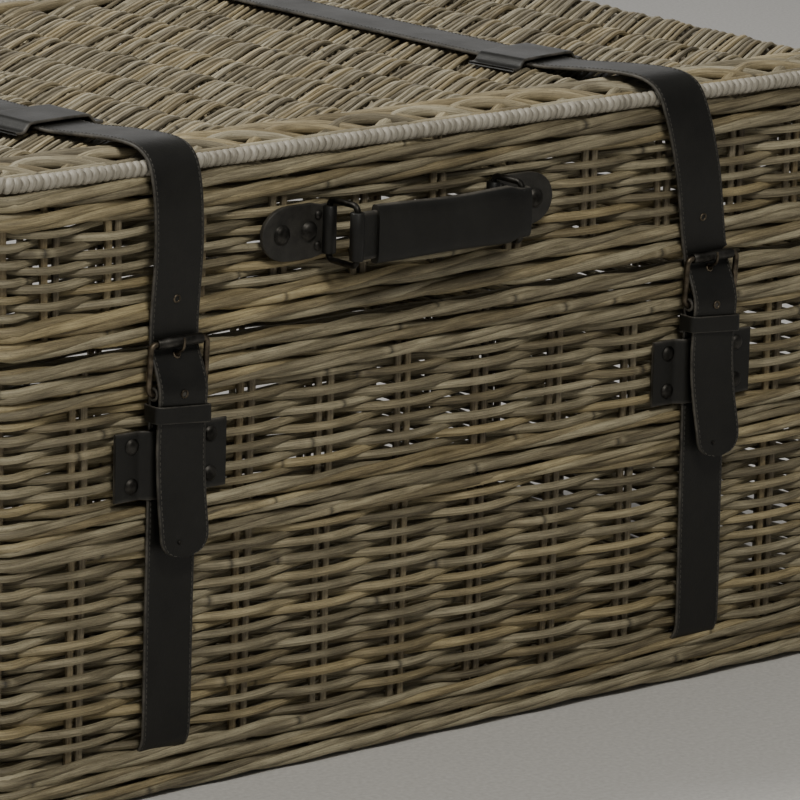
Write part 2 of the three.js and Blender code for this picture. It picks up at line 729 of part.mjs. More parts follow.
// ================================================================ handle
// Leather fold round a vertical ring bar, running flat to one side. side is -1 or 1, the way it runs.
function foldPlan(barX, barOut, side, length, flatLow, flatHigh) {
  const y = frontFace - barOut;
  const plan = new THREE.Shape();
  const start = side > 0 ? Math.PI / 2 : -Math.PI / 2;
  plan.absarc(barX, y, ringFoldRadius, start, start + Math.PI, false);
  const flats = [
    [barX + side * length, frontFace - flatHigh],
    [barX + side * length, frontFace - flatLow],
  ];
  for (const [x, flatY] of side > 0 ? flats : flats.reverse()) plan.lineTo(x, flatY);
  return plan;
}

function barBore(barX, barOut) {
  const bore = ringWireRadius + barRunningGap;
  return roundAlongZ(bore, 0, handleHeight - ringHeight, handleHeight + ringHeight, barX, frontFace - barOut);
}

function tabRivetPlaces(barX, side) {
  const large = largeRivetPlaces.map((reach) => [barX + side * reach, handleHeight]);
  const small = [1, -1].map((up) => [barX + side * smallRivetPlace, handleHeight + up * smallRivetSpread]);
  return { large, small };
}

function handleTab(barX, side) {
  const half = tabHeight / 2;
  const neckHalf = foldHeight / 2;
  const neck = barX + side * tabNeckLength;
  const shoulder = neck + side * tabShoulder;
  const roundStart = barX + side * (tabLength - half);
  const outline = new THREE.Shape();
  outline.moveTo(barX, handleHeight - side * neckHalf);
  outline.lineTo(neck, handleHeight - side * neckHalf);
  outline.lineTo(shoulder, handleHeight - side * half);
  const start = side > 0 ? -Math.PI / 2 : Math.PI / 2;
  outline.absarc(roundStart, handleHeight, half, start, start + Math.PI, false);
  outline.lineTo(shoulder, handleHeight + side * half);
  outline.lineTo(neck, handleHeight + side * neckHalf);
  outline.lineTo(barX, handleHeight + side * neckHalf);
  const plate = standOut(outline, flangeSeat, flangeSeat + tabThickness);
  const foldBottom = handleHeight - foldHeight / 2;
  const foldTop = handleHeight + foldHeight / 2;
  const fold = roundAlongZ(ringFoldRadius, 0, foldBottom, foldTop, barX, frontFace - hingeBarOut);
  const { large, small } = tabRivetPlaces(barX, side);
  const holes = [...large, ...small].map(([x, z]) => rivetHole(x, z, rivetShankRadius));
  return cut(join(plate, fold), barBore(barX, hingeBarOut), ...holes);
}

function handleRing(barX) {
  const loop = wireLoop(ringDepth, ringHeight, ringCornerRadius, ringWireRadius);
  loop.rotateX(Math.PI / 2).rotateZ(-Math.PI / 2);
  return loop.translate(barX, frontFace - hingeBarOut - ringDepth / 2, handleHeight);
}

function gripCore(leftBar, rightBar) {
  const out = hingeBarOut + ringDepth;
  const low = out - gripCoreThickness / 2;
  const high = out + gripCoreThickness / 2;
  const bottom = handleHeight - foldHeight / 2;
  const top = handleHeight + foldHeight / 2;
  const leftFold = raise(foldPlan(leftBar, out, 1, gripFoldLength, low, high), bottom, top);
  const rightFold = raise(foldPlan(rightBar, out, -1, gripFoldLength, low, high), bottom, top);
  const left = leftBar + gripFoldLength;
  const right = rightBar - gripFoldLength;
  const strip = box(left, right, frontFace - high, frontFace - low, bottom, top);
  return cut(join(leftFold, rightFold, strip), barBore(leftBar, out), barBore(rightBar, out));
}

function gripSleeve(leftBar, rightBar) {
  const out = frontFace - hingeBarOut - ringDepth;
  const outer = roundedRectangle(gripSleeveThickness, gripSleeveHeight, gripSleeveThickness / 2.4);
  const coreHalf = gripCoreThickness / 2 + fitGap;
  const holeHalf = foldHeight / 2 + fitGap;
  outer.holes.push(rectangle(-coreHalf, coreHalf, -holeHalf, holeHalf));
  const left = leftBar + gripSleeveInset.left;
  const right = rightBar - gripSleeveInset.right;
  return drawAlongX(outer, left, right).translate(0, out, handleHeight);
}

function addHandle() {
  const leftBar = handleMiddle - handleBarSpacing / 2;
  const rightBar = handleMiddle + handleBarSpacing / 2;
  for (const [name, barX, side] of [["left", leftBar, -1], ["right", rightBar, 1]]) {
    addPiece(`handle_tab_${name}`, handleTab(barX, side), "leather");
    addPiece(`handle_ring_${name}`, handleRing(barX), "metal");
    const { large, small } = tabRivetPlaces(barX, side);
    large.forEach(([x, z], index) => {
      const seat = flangeSeat + tabThickness + fitGap;
      const head = rivet(x, z, flangeSeat, seat, largeRivetRadius, largeRivetHeight, rivetShankRadius);
      addPiece(`handle_rivet_${name}_${index + 1}`, head, "metal");
    });
    small.forEach(([x, z], index) => {
      const seat = flangeSeat + tabThickness + fitGap;
      const head = rivet(x, z, flangeSeat, seat, smallRivetRadius, smallRivetHeight, rivetShankRadius);
      addPiece(`handle_small_rivet_${name}_${index + 1}`, head, "metal");
    });
  }
  addPiece("grip_core", gripCore(leftBar, rightBar), "leather");
  addPiece("grip_sleeve", gripSleeve(leftBar, rightBar), "leather");
}

// ================================================================ the trunk
addBase();
addLid();
addStrapSet("left");
addStrapSet("right");
addHandle();

export default trunk;
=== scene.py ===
"""Looks of the wicker storage trunk: woven rattan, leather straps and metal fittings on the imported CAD.

Sizes are in millimetres in the CAD's own frame, and become metres when a mesh is made. "Out" is the distance
in front of the woven walls' outer face.
"""

import math

import bmesh
import bpy
import numpy as np
from mathutils import Matrix, Vector


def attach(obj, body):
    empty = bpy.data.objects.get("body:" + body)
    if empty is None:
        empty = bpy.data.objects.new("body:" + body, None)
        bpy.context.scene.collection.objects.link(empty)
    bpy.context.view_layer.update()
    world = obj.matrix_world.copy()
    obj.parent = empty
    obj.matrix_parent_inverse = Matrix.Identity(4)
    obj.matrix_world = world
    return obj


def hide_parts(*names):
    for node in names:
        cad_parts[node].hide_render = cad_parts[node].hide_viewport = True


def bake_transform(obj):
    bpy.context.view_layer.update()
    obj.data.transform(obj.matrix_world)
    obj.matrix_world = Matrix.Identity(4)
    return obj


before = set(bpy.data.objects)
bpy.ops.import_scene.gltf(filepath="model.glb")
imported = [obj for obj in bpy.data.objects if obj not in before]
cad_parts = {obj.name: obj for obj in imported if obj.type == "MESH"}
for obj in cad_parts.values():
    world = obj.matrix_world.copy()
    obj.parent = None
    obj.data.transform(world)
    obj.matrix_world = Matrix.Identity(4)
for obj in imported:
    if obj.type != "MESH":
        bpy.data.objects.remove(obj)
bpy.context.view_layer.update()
rng = np.random.default_rng(11)

MM = 0.001
OUT = (0.0, -1.0, 0.0)
UP = (0.0, 0.0, 1.0)
RIGHT = (1.0, 0.0, 0.0)

# ------------------------------------------------------------------ sizes of the trunk, mostly the CAD's
HALF_LENGTH = 402.0
HALF_DEPTH = 278.0
CORNER_RADIUS = 24.0
BASE_TOP = 321.0
LID_BOTTOM = 322.0
LID_LENGTH_UP = 128.0
RIM_TOP = 450.0
FOOT_BAND = (2.2, 38.0)  # each band's lowest and highest point
MIDDLE_BAND = (178.0, 212.0)
RIM_BAND = (284.0, 319.4)
LID_LOW_BAND = (323.8, 351.0)
LID_HIGH_BAND = (411.3, 439.3)
RIM_ROD_HEIGHT = 444.8
RIM_ROD_INSET = 4.0
RIM_ROD_RADIUS = 5.2
HINGE_Y = 287.3
HINGE_Z = 321.5
HINGE_ROD_RADIUS = 7.0
HINGE_ROD_LENGTH = 700.0
HINGE_LOOPS = {"left": -290.0, "middle": 0.0, "right": 290.0}
HINGE_COIL_TURNS = 3.25

STRAP_X = {"left": -252.0, "right": 243.0}  # the right straps hang a little nearer to the middle
STRAP_FOOT_LEAN = {"left": -1.0, "right": 5.0}
TAIL_BEND = {"left": 2.5, "right": 7.0}  # how far each strap's tail turns to the right at its tip
STRAP_WIDTH = 42.0
STRAP_THICKNESS = 2.6
STRAP_MIDDLE_OUT = 3.7
STRAP_DRIFT = {"left": (-4.0, -10.0, -12.0), "right": (-34.0, -58.0, -67.0)}  # at rim, keeper and back
STRAP_CREST = RIM_TOP + 4.2
STRAP_END_TIP = 175.0
KEEPER_FROM_FRONT = 112.0
KEEPER_LENGTH = 50.0
KEEPER_TURN = {"left": 3.0, "right": 8.0}

HEEL_OUT = 7.55  # the buckle's lower bar, which it turns on
HEEL_Z = 290.0
ROLLER_OUT = 9.4
ROLLER_Z = 325.0
BUCKLE_HALF_WIDTH = 24.2
BUCKLE_WIRE = 2.2
ROLLER_RADIUS = 3.8
ROLLER_HALF = 19.4
PRONG_RADIUS = 1.6
LOOP_LOW = 267.5
LOOP_HIGH = 282.5
LOOP_OUT = (1.4, 17.35)  # the leather loop's back and front
LOOP_PLAY = 5.2  # how much wider than the strap it is
PATCH_LOW = 216.0
PATCH_HIGH = 264.6
PATCH_HALF_WIDTH = 48.0
PATCH_RIVET_X = 34.0
PATCH_RIVET_Z = (226.5, 254.5)
PATCH_THICKNESS = 2.5
PATCH_CHANNEL = (21.6, 6.7)  # half the width and the out of the raised middle
KEEPER_THICKNESS = 2.2
KEEPER_HALF_WIDTH = 37.0
KEEPER_CHANNEL = (27.0, RIM_TOP + 8.3)
PATCH_RIVET = (5.5, 2.6)  # each rivet's radius and height
LARGE_RIVET = (7.0, 3.6)
SMALL_RIVET = (3.2, 2.0)
TAIL_RIVET = (1.5, 1.1)

HANDLE_BARS = {"left": -119.0, "right": 31.0}  # the rings' upright bars at the lid
HANDLE_Z = 386.5
HINGE_BAR_OUT = 5.9
RING_DEPTH = 30.0
RING_HEIGHT = 42.5
RING_WIRE = 2.25
TAB_THICKNESS = 4.0
TAB_SEAT = 0.4
BARREL_HALF = 17.0
BARREL_RADII = (2.6, 4.5, 5.1)
GRIP_OUT = HINGE_BAR_OUT + RING_DEPTH
STITCH_PITCH = 3.9
STITCH_LENGTH = 2.5
STITCH_RADIUS = 0.34
SEAM_INSET = 2.4
EYELET_RADIUS = 2.5

# ------------------------------------------------------------------ sizes of the weave
STAKE_OUT = -8.2  # the stakes' centre line
STAKE_RADIUS = 2.85
STAKE_APART = 9.2  # the two stakes of a pair
FRONT_STAKES = [-324, -252, -180, -108, -36, 36, 108, 180, 252, 324]
LID_STAKES = [-350, -297, -225, -153, -81, -9, 63, 135, 207, 279, 335]
SIDE_STAKES = 6
WEAVER_RADIUS = 3.3
WEAVER_SWING = 5.0
WEAVER_WANDER = 0.55  # how far a row strays up and down
ROW_PITCH = 6.15
RODS_IN_ROW = 3
ROD_END_STEP = 1.2  # how far a rod's two ends lie above and below the next rods'
STEPS_BETWEEN_STAKES = 8
ROD_OVERLAP_STEPS = 4
ROD_SIDES = 7
INNER_POLE_OUT = -14.2  # thin poles inside the wales, behind the stakes
INNER_POLE_RADIUS = 3.3
WALE_STRANDS = 3
WALE_TURNS = 12  # times that a strand goes over and under on its way round the trunk
WALE_PARTS = 4  # rods in each strand
WALE_OUT = 1.6  # the strands' outermost points
WALE_SWING = 1.12  # in and out, in strand radii
WALE_RISE = 2.25  # up over one turn, in strand radii
WALE_ROW_SHIFT = 0.17
RIM_WRAP_TURNS = 450
RIM_WRAP_STEPS = 12  # points on each turn
RIDGE_PITCH = 55.2
RIDGE_LAST = 384.0
RIDGE_COUNT = 15
RIDGE_DEPTH = 13.0
EDGE_RIDGE_GAIN = 3.0  # the two outermost ridges stand higher
STRAND_PITCH = 6.8
STRAND_RADIUS = (1.75, 2.3)
STRAND_LEAN = 24.0
FLOOR_HALF = (385.0, 261.0)
FLOOR_Z = 6.8
FLOOR_RIBS = 6  # on each side of the middle one
FLOOR_ROWS = 80
NODE_SPACING = 620.0  # between the dark rings on a rod

# ------------------------------------------------------------------ light and camera
FLOOR_SIZE = 6.0
WORLD_STRENGTH = 0.2
KEY_POWER = 75.0
FRONT_POWER = 62.0
SIDE_POWER = 9.0
CAMERA_TURN = (0.7105, 0.2382, 0.0284)  # yaw, pitch and roll
CAMERA_PLACE = (-2.7702, -3.4452, 1.26835)
CAMERA_LENS = 275.15


def clamp(value, low, high):
    return np.minimum(np.maximum(value, low), high)


def smooth(value):
    value = clamp(value, 0.0, 1.0)
    return value * value * (3 - 2 * value)


# ------------------------------------------------------------------ meshes
def unit(vectors):
    return vectors / np.maximum(np.linalg.norm(vectors, axis=-1, keepdims=True), 1e-9)


def full_turn(count):
    """Evenly spaced angles round a circle."""
    return np.arange(count) * 2 * math.pi / count


def distances(line):
    """How far along a line each of its points lies."""
    return np.concatenate([[0], np.cumsum(np.linalg.norm(np.diff(line, axis=0), axis=1))])


def at_distances(wanted, travel, values):
    """Values that go with a line's points, read off at the wanted distances along it."""
    return np.stack([np.interp(wanted, travel, values[:, k]) for k in range(values.shape[1])], 1)


def link(name, data):
    """A new object in the scene."""
    made = bpy.data.objects.new(name, data)
    bpy.context.scene.collection.objects.link(made)
    return made


class Bundle:
    """Swept rods, strips and wires that become one mesh. Each point keeps where it lies on its own rod."""

    def __init__(self):
        self.points = []
        self.faces = []
        self.rod = []
        self.tone = []
        self.wear = []
        self.count = 0

    def sweep(self, line, section, reference, scale=None, closed=False, tone=None, wear=None):
        """Carries a section of (across, up) points along a line. "Up" stays near to the reference."""
        line = np.asarray(line, float)
        section = np.asarray(section, float)
        if closed:
            along = unit(np.roll(line, -1, 0) - np.roll(line, 1, 0))
        else:
            along = unit(np.gradient(line, axis=0))
        up = np.broadcast_to(np.asarray(reference, float), line.shape)
        up = unit(up - (up * along).sum(1, keepdims=True) * along)
        across = np.cross(along, up)
        size = np.ones((len(line), 2)) if scale is None else np.asarray(scale, float).reshape(len(line), -1)
        wide = section[None, :, 0] * size[:, :1]
        high = section[None, :, 1] * size[:, -1:]
        rings = line[:, None] + wide[..., None] * across[:, None] + high[..., None] * up[:, None]
        steps, sides = rings.shape[:2]
        travel = distances(line)
        seed = rng.random()
        rod = np.empty((steps, sides, 3))
        rod[..., 0] = travel[:, None] + 4000 * seed
        rod[..., 1] = wide + 900 * seed
        rod[..., 2] = high
        self.add_grid(rings, rod, closed, seed if tone is None else tone, wear)

    def add_grid(self, rings, rod, closed, tone, wear):
        steps, sides = rings.shape[:2]
        start = self.count
        self.points.append(rings.reshape(-1, 3))
        self.rod.append(rod.reshape(-1, 3))
        self.tone.append(np.full(steps * sides, tone))
        worn = np.zeros(sides) if wear is None else np.asarray(wear, float)
        self.wear.append(np.tile(worn, steps))
        self.count += steps * sides
        ring = np.arange(sides)
        turned = np.roll(ring, -1)
        last = steps if closed else steps - 1
        row = np.arange(last)[:, None] * sides + start
        following = (np.arange(1, last + 1)[:, None] % steps) * sides + start
        quads = np.stack([row + ring, row + turned, following + turned, following + ring], -1)
        self.faces.extend(map(tuple, quads.reshape(-1, 4).tolist()))
        if not closed:
            self.faces.append(tuple((start + ring[::-1]).tolist()))
            self.faces.append(tuple((start + (steps - 1) * sides + ring).tolist()))

    def rod_along(self, line, radius, reference, sides=ROD_SIDES, **options):
        angles = full_turn(sides)
        section = np.stack([np.cos(angles), np.sin(angles)], 1) * radius
        self.sweep(line, section, reference, **options)

    def piece(self, name, material, body, slot, replaced=()):
        return place(self.object(name, material), body, replaced)

    def object(self, name, material):
        mesh = bpy.data.meshes.new(name)
        mesh.from_pydata((np.concatenate(self.points) * MM).tolist(), [], self.faces)
        for label, values in (("tone", self.tone), ("wear", self.wear)):
            attribute = mesh.attributes.new(label, "FLOAT", "POINT")
            attribute.data.foreach_set("value", np.concatenate(values).astype(np.float32))
        attribute = mesh.attributes.new("rod", "FLOAT_VECTOR", "POINT")
        attribute.data.foreach_set("vector", np.concatenate(self.rod).astype(np.float32).ravel())
        mesh.shade_smooth()
        mesh.set_sharp_from_angle(angle=math.radians(50))
        mesh.materials.append(material)
        return link(name, mesh)


def place(piece, body, replaced=()):
    if isinstance(body, tuple):
        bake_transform(piece)
    else:
        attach(piece, body)
    if replaced:
        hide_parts(*replaced)
    return piece


def curve_through(points, steps):
    """Evenly spaced points on a Catmull-Rom curve through the given points."""
    points = np.asarray(points, float)
    padded = np.vstack([2 * points[0] - points[1], points, 2 * points[-1] - points[-2]])
    fine = []
    share = np.linspace(0, 1, 16, endpoint=False)[:, None]
    for a, b, c, d in zip(padded, padded[1:], padded[2:], padded[3:]):
        cubic = (3 * (b - c) + d - a) * share**3
        square = (2 * a - 5 * b + 4 * c - d) * share**2
        fine.append(0.5 * (cubic + square + (c - a) * share) + b)
    fine = np.vstack([*fine, points[-1:]])
    travel = distances(fine)
    return at_distances(np.linspace(0, travel[-1], steps + 1), travel, fine)


# ------------------------------------------------------------------ materials
class Nodes:
    """A short way to write a material's nodes."""

    def __init__(self, name, roughness, metallic=0.0):
        self.material = bpy.data.materials.new(name)
        self.material.use_nodes = True
        self.tree = self.material.node_tree
        self.shader = self.tree.nodes["Principled BSDF"]
        self.shader.inputs["Roughness"].default_value = roughness
        self.shader.inputs["Metallic"].default_value = metallic

    def add(self, kind, **inputs):
        node = self.tree.nodes.new(kind)
        for key, value in inputs.items():
            self.join(value, node.inputs[key.replace("_", " ")])
        return node

    def join(self, value, socket):
        if isinstance(value, bpy.types.NodeSocket):
            self.tree.links.new(value, socket)
        else:
            socket.default_value = value

    def attribute(self, name, output="Fac"):
        node = self.tree.nodes.new("ShaderNodeAttribute")
        node.attribute_name = name
        return node.outputs[output]

    def math(self, operation, a, b=0.0, c=0.0):
        node = self.tree.nodes.new("ShaderNodeMath")
        node.operation = operation
        for socket, value in zip(node.inputs, (a, b, c)):
            self.join(value, socket)
        return node.outputs[0]

    def scaled(self, vector, scale):
        node = self.tree.nodes.new("ShaderNodeVectorMath")
        node.operation = "MULTIPLY"
        self.join(vector, node.inputs[0])
        node.inputs[1].default_value = scale
        return node.outputs[0]

    def noise(self, vector, scale, detail=3.0, roughness=0.55):
        node = self.add("ShaderNodeTexNoise", Vector=vector, Scale=scale, Detail=detail, Roughness=roughness)
        return node.outputs["Fac"]

    def ramp(self, factor, *stops):
        node = self.tree.nodes.new("ShaderNodeValToRGB")
        elements = node.color_ramp.elements
        while len(elements) < len(stops):
            elements.new(0.5)
        for element, (position, colour) in zip(elements, stops):
            element.position = position
            element.color = (*colour, 1.0)
        self.join(factor, node.inputs[0])
        return node.outputs[0]

    def mix(self, factor, a, b, blend="MIX"):
        node = self.tree.nodes.new("ShaderNodeMix")
        node.data_type = "RGBA"
        node.blend_type = blend
        self.join(factor, node.inputs["Factor"])
        for value, socket in ((a, node.inputs[6]), (b, node.inputs[7])):
            self.join((*value, 1.0) if isinstance(value, tuple) else value, socket)
        return node.outputs[2]

    def bump(self, height, strength, distance):
        node = self.add("ShaderNodeBump", Height=height, Strength=strength, Distance=distance)
        self.join(node.outputs[0], self.shader.inputs["Normal"])

    def finish(self, colour, roughness=None):
        self.join(colour, self.shader.inputs["Base Color"])
        if roughness is not None:
            self.join(roughness, self.shader.inputs["Roughness"])
        return self.material


def grey(value):
    return (value, value, value)


BLACK = grey(0.0)
TAN = (1.16, 1.04, 0.78)


def rattan_material(name, dark, middle, light):
    """Weathered rattan: each rod has its own tone, streaks, blotches and flecks, and rings at its nodes."""
    n = Nodes(name, 0.62)
    rod = n.attribute("rod", "Vector")
    tone = n.attribute("tone")
    streak = n.noise(n.scaled(rod, (0.045, 1.3, 1.3)), 1.0, 5.0, 0.65)
    blotch = n.noise(n.scaled(rod, (0.02, 0.05, 0.05)), 1.0, 3.0)
    fleck = n.noise(n.scaled(rod, (0.5, 1.5, 1.5)), 1.0, 2.0)
    fibres = n.noise(n.scaled(rod, (0.05, 2.6, 2.6)), 1.0, 3.0)
    mixed = n.math("MULTIPLY_ADD", tone, 0.3, n.math("MULTIPLY", blotch, 0.7))
    mixed = n.math("MULTIPLY_ADD", streak, 1.1, mixed)
    colour = n.ramp(n.math("SUBTRACT", mixed, 0.55), (0.15, dark), (0.5, middle), (0.85, light))
    warmth = n.ramp(n.math("FRACT", n.math("MULTIPLY", tone, 7.3)), (0.5, grey(0.0)), (1.0, grey(0.7)))
    colour = n.mix(warmth, colour, n.mix(1.0, colour, TAN, "MULTIPLY"))
    spots = n.ramp(fleck, (0.28, grey(0.45)), (0.42, grey(1.0)))
    colour = n.mix(0.7, colour, spots, "MULTIPLY")
    ring = distance_from_node(n, rod)
    node_dark = n.ramp(ring, (0.0, grey(0.32)), (0.0022, grey(0.45)), (0.0034, grey(1.0)))
    colour = n.mix(1.0, colour, node_dark, "MULTIPLY")
    node_pale = n.ramp(ring, (0.0, BLACK), (0.004, BLACK), (0.0055, grey(0.35)), (0.014, BLACK))
    colour = n.mix(node_pale, colour, light)
    knuckle = n.ramp(ring, (0.0, BLACK), (0.0045, grey(1.0)))
    n.bump(n.math("MULTIPLY_ADD", fibres, 0.6, n.math("MULTIPLY", knuckle, 0.5)), 0.55, 0.0011)
    return n.finish(colour, n.math("MULTIPLY_ADD", streak, 0.35, 0.42))


def distance_from_node(n, rod):
    """How far a point is from its rod's nearest node, where 1 is the way from one node to the next."""
    parts = n.tree.nodes.new("ShaderNodeSeparateXYZ")
    n.join(rod, parts.inputs[0])
    return n.math("PINGPONG", n.math("MULTIPLY", parts.outputs[0], 1 / NODE_SPACING), 0.5)


def cane_material():
    n = Nodes("grey_cane", 0.5)
    rod = n.attribute("rod", "Vector")
    streak = n.noise(n.scaled(rod, (0.12, 1.4, 1.4)), 1.0, 4.0)
    patch = n.noise(n.scaled(rod, (0.03, 0.1, 0.1)), 1.0, 3.0)
    value = n.math("MULTIPLY_ADD", patch, 0.6, n.math("MULTIPLY", streak, 0.5))
    dark, middle, light = (0.085, 0.075, 0.055), (0.255, 0.234, 0.187), (0.45, 0.42, 0.355)
    colour = n.ramp(value, (0.25, dark), (0.5, middle), (0.8, light))
    n.bump(streak, 0.4, 0.0006)
    return n.finish(colour, n.math("MULTIPLY_ADD", streak, 0.3, 0.38))


def leather_material(name, dark, light):
    """Strap leather: fine grain, creases and scuffs, and cut edges rubbed paler."""
    n = Nodes(name, 0.5)
    n.shader.inputs["Specular IOR Level"].default_value = 0.3
    position = n.tree.nodes.new("ShaderNodeTexCoord").outputs["Object"]
    grain = n.add("ShaderNodeTexVoronoi", Vector=position, Scale=950.0)
    grain.feature = "SMOOTH_F1"
    crease = n.noise(position, 140.0, 6.0, 0.65)
    cloud = n.noise(position, 22.0, 4.0, 0.6)
    scuff = n.noise(position, 60.0, 8.0, 0.75)
    shade = n.math("MULTIPLY_ADD", cloud, 0.7, n.math("MULTIPLY", crease, 0.3))
    colour = n.ramp(shade, (0.3, dark), (0.75, light))
    worn = n.math("MULTIPLY", n.attribute("wear"), n.ramp(scuff, (0.35, grey(0.15)), (0.62, grey(1.0))))
    colour = n.mix(n.math("MULTIPLY", worn, 0.6), colour, (0.18, 0.165, 0.14))
    rubbed = n.ramp(scuff, (0.6, BLACK), (0.75, grey(0.16)))
    colour = n.mix(rubbed, colour, (0.05, 0.047, 0.04))
    height = n.math("MULTIPLY_ADD", grain.outputs["Distance"], 0.35, n.math("MULTIPLY", crease, 0.65))
    n.bump(height, 0.35, 0.0007)
    return n.finish(colour, n.math("MULTIPLY_ADD", cloud, 0.25, 0.36))


def thread_material():
    n = Nodes("waxed_thread", 0.6)
    rod = n.attribute("rod", "Vector")
    twist = n.noise(n.scaled(rod, (1.4, 1.4, 1.4)), 1.0, 2.0)
    n.bump(twist, 0.4, 0.0003)
    return n.finish(n.ramp(twist, (0.3, (0.02, 0.018, 0.015)), (0.7, (0.075, 0.069, 0.057))))


def metal_material(name, dark, bright, roughness):
    """Coated metal that is rubbed brighter in patches."""
    n = Nodes(name, roughness, 1.0)
    position = n.tree.nodes.new("ShaderNodeTexCoord").outputs["Object"]
    cloud = n.noise(position, 90.0, 6.0, 0.6)
    fine = n.noise(position, 420.0, 4.0, 0.6)
    colour = n.ramp(cloud, (0.38, dark), (0.72, bright))
    n.bump(fine, 0.18, 0.0005)
    return n.finish(colour, n.math("MULTIPLY_ADD", fine, 0.3, roughness - 0.12))


RATTAN = rattan_material("rattan", (0.055, 0.043, 0.023), (0.19, 0.163, 0.1), (0.4, 0.355, 0.235))
THICK_TONES = ((0.06, 0.047, 0.025), (0.2, 0.171, 0.105), (0.42, 0.375, 0.25))
THICK_RATTAN = rattan_material("thick_rattan", *THICK_TONES)
# Lighter copy of the rattan for the lid's top and border: painted light, standing in for the stronger light
# that falls on the top.
TOP_PAINTED_LIGHT_TONES = ((0.06, 0.048, 0.028), (0.22, 0.19, 0.125), (0.46, 0.415, 0.3))
TOP_PAINTED_LIGHT_RATTAN = rattan_material("rattan_with_painted_top_light", *TOP_PAINTED_LIGHT_TONES)
STAKE_RATTAN = rattan_material("stake_rattan", (0.06, 0.045, 0.025), (0.17, 0.14, 0.088), (0.32, 0.28, 0.19))
CANE = cane_material()
LEATHER = leather_material("black_leather", (0.0045, 0.0043, 0.0036), (0.013, 0.0125, 0.0105))
THREAD = thread_material()
BLACK_METAL = metal_material("black_metal", (0.02, 0.019, 0.017), (0.09, 0.085, 0.077), 0.46)
BRONZE_METAL = metal_material("bronzed_metal", (0.045, 0.037, 0.027), (0.22, 0.18, 0.13), 0.42)


# ------------------------------------------------------------------ the line round the walls
LONG_SIDE = 2 * (HALF_LENGTH - CORNER_RADIUS)
SHORT_SIDE = 2 * (HALF_DEPTH - CORNER_RADIUS)
CORNER_ARC = math.pi / 2 * CORNER_RADIUS
ROUND_LENGTH = 2 * (LONG_SIDE + SHORT_SIDE) + 4 * CORNER_ARC


def round_walls(travel, out):
    """Points (x, y) some way round the walls from the front's left end, and "out" of their face."""
    travel = np.mod(np.asarray(travel, float), ROUND_LENGTH)
    out = np.broadcast_to(np.asarray(out, float), travel.shape)
    x, y = LONG_SIDE / 2, SHORT_SIDE / 2
    runs = [
        ((-x, -y), (1, 0), LONG_SIDE),
        ((x, -y), (0, 1), SHORT_SIDE),
        ((x, y), (-1, 0), LONG_SIDE),
        ((-x, y), (0, -1), SHORT_SIDE),
    ]
    reach = CORNER_RADIUS + out
    places = np.zeros((*travel.shape, 2))
    start = 0.0
    for (corner_x, corner_y), (dx, dy), length in runs:
        on = (travel >= start) & (travel < start + length)
        gone = travel - start
        straight = np.stack([corner_x + dx * gone + dy * reach, corner_y + dy * gone - dx * reach], -1)
        places[on] = straight[on]
        start += length
        turning = (travel >= start) & (travel < start + CORNER_ARC)
        angle = (travel - start) / CORNER_RADIUS
        across = dy * np.cos(angle) + dx * np.sin(angle)
        deep = -dx * np.cos(angle) + dy * np.sin(angle)
        end_x, end_y = corner_x + dx * length, corner_y + dy * length
        bent = np.stack([end_x + across * reach, end_y + deep * reach], -1)
        places[turning] = bent[turning]
        start += CORNER_ARC
    return places


def stake_travels(front):
    """Distance round the walls of every stake pair, with one at the middle of each corner."""
    front = np.asarray(front, float)
    corner = LONG_SIDE + CORNER_ARC / 2
    between = (SHORT_SIDE + CORNER_ARC) / (SIDE_STAKES + 1)
    half = [*(front + LONG_SIDE / 2), *(corner + between * np.arange(SIDE_STAKES + 2))]
    return np.array([*half, *(np.array(half) + ROUND_LENGTH / 2)])


def wobble(travel, size, waves=9):
    """A small smooth wandering that closes on itself."""
    total = np.zeros_like(travel)
    for _ in range(waves):
        turns = rng.integers(2, 46)
        total += rng.normal() * np.sin(2 * math.pi * (turns * travel / ROUND_LENGTH + rng.random()))
    return size * total / math.sqrt(waves)


def stakes(name, body, front, low, high):
    """Pairs of upright stakes, each leaning a little."""
    bundle = Bundle()
    height = np.linspace(low, high, 9)
    for middle in stake_travels(front):
        for side in (-1, 1):
            lean = rng.normal(0, 0.7) * (height - low) / (high - low)
            travel = middle + side * STAKE_APART / 2 + lean + rng.normal(0, 0.35, len(height))
            line = np.column_stack([round_walls(travel, STAKE_OUT), height])
            bundle.rod_along(line, STAKE_RADIUS * rng.uniform(0.92, 1.06), (1, 0.2, 0))
    return bundle.piece(name, STAKE_RATTAN, body, "rattan_weave")


def woven_rows(name, body, front, spans, replaced):
    """Single weavers in front of one stake pair and behind the next, and the other way on the next row."""
    bundle = Bundle()
    places = stake_travels(front)
    number = 0
    for low, high in spans:
        rows = round((high - low) / ROW_PITCH)
        pitch = (high - low) / rows
        for row in range(rows):
            number += 1
            add_weaver_row(bundle, places, number, low + (row + 0.5) * pitch)
    return bundle.piece(name, RATTAN, body, "rattan_weave", replaced)


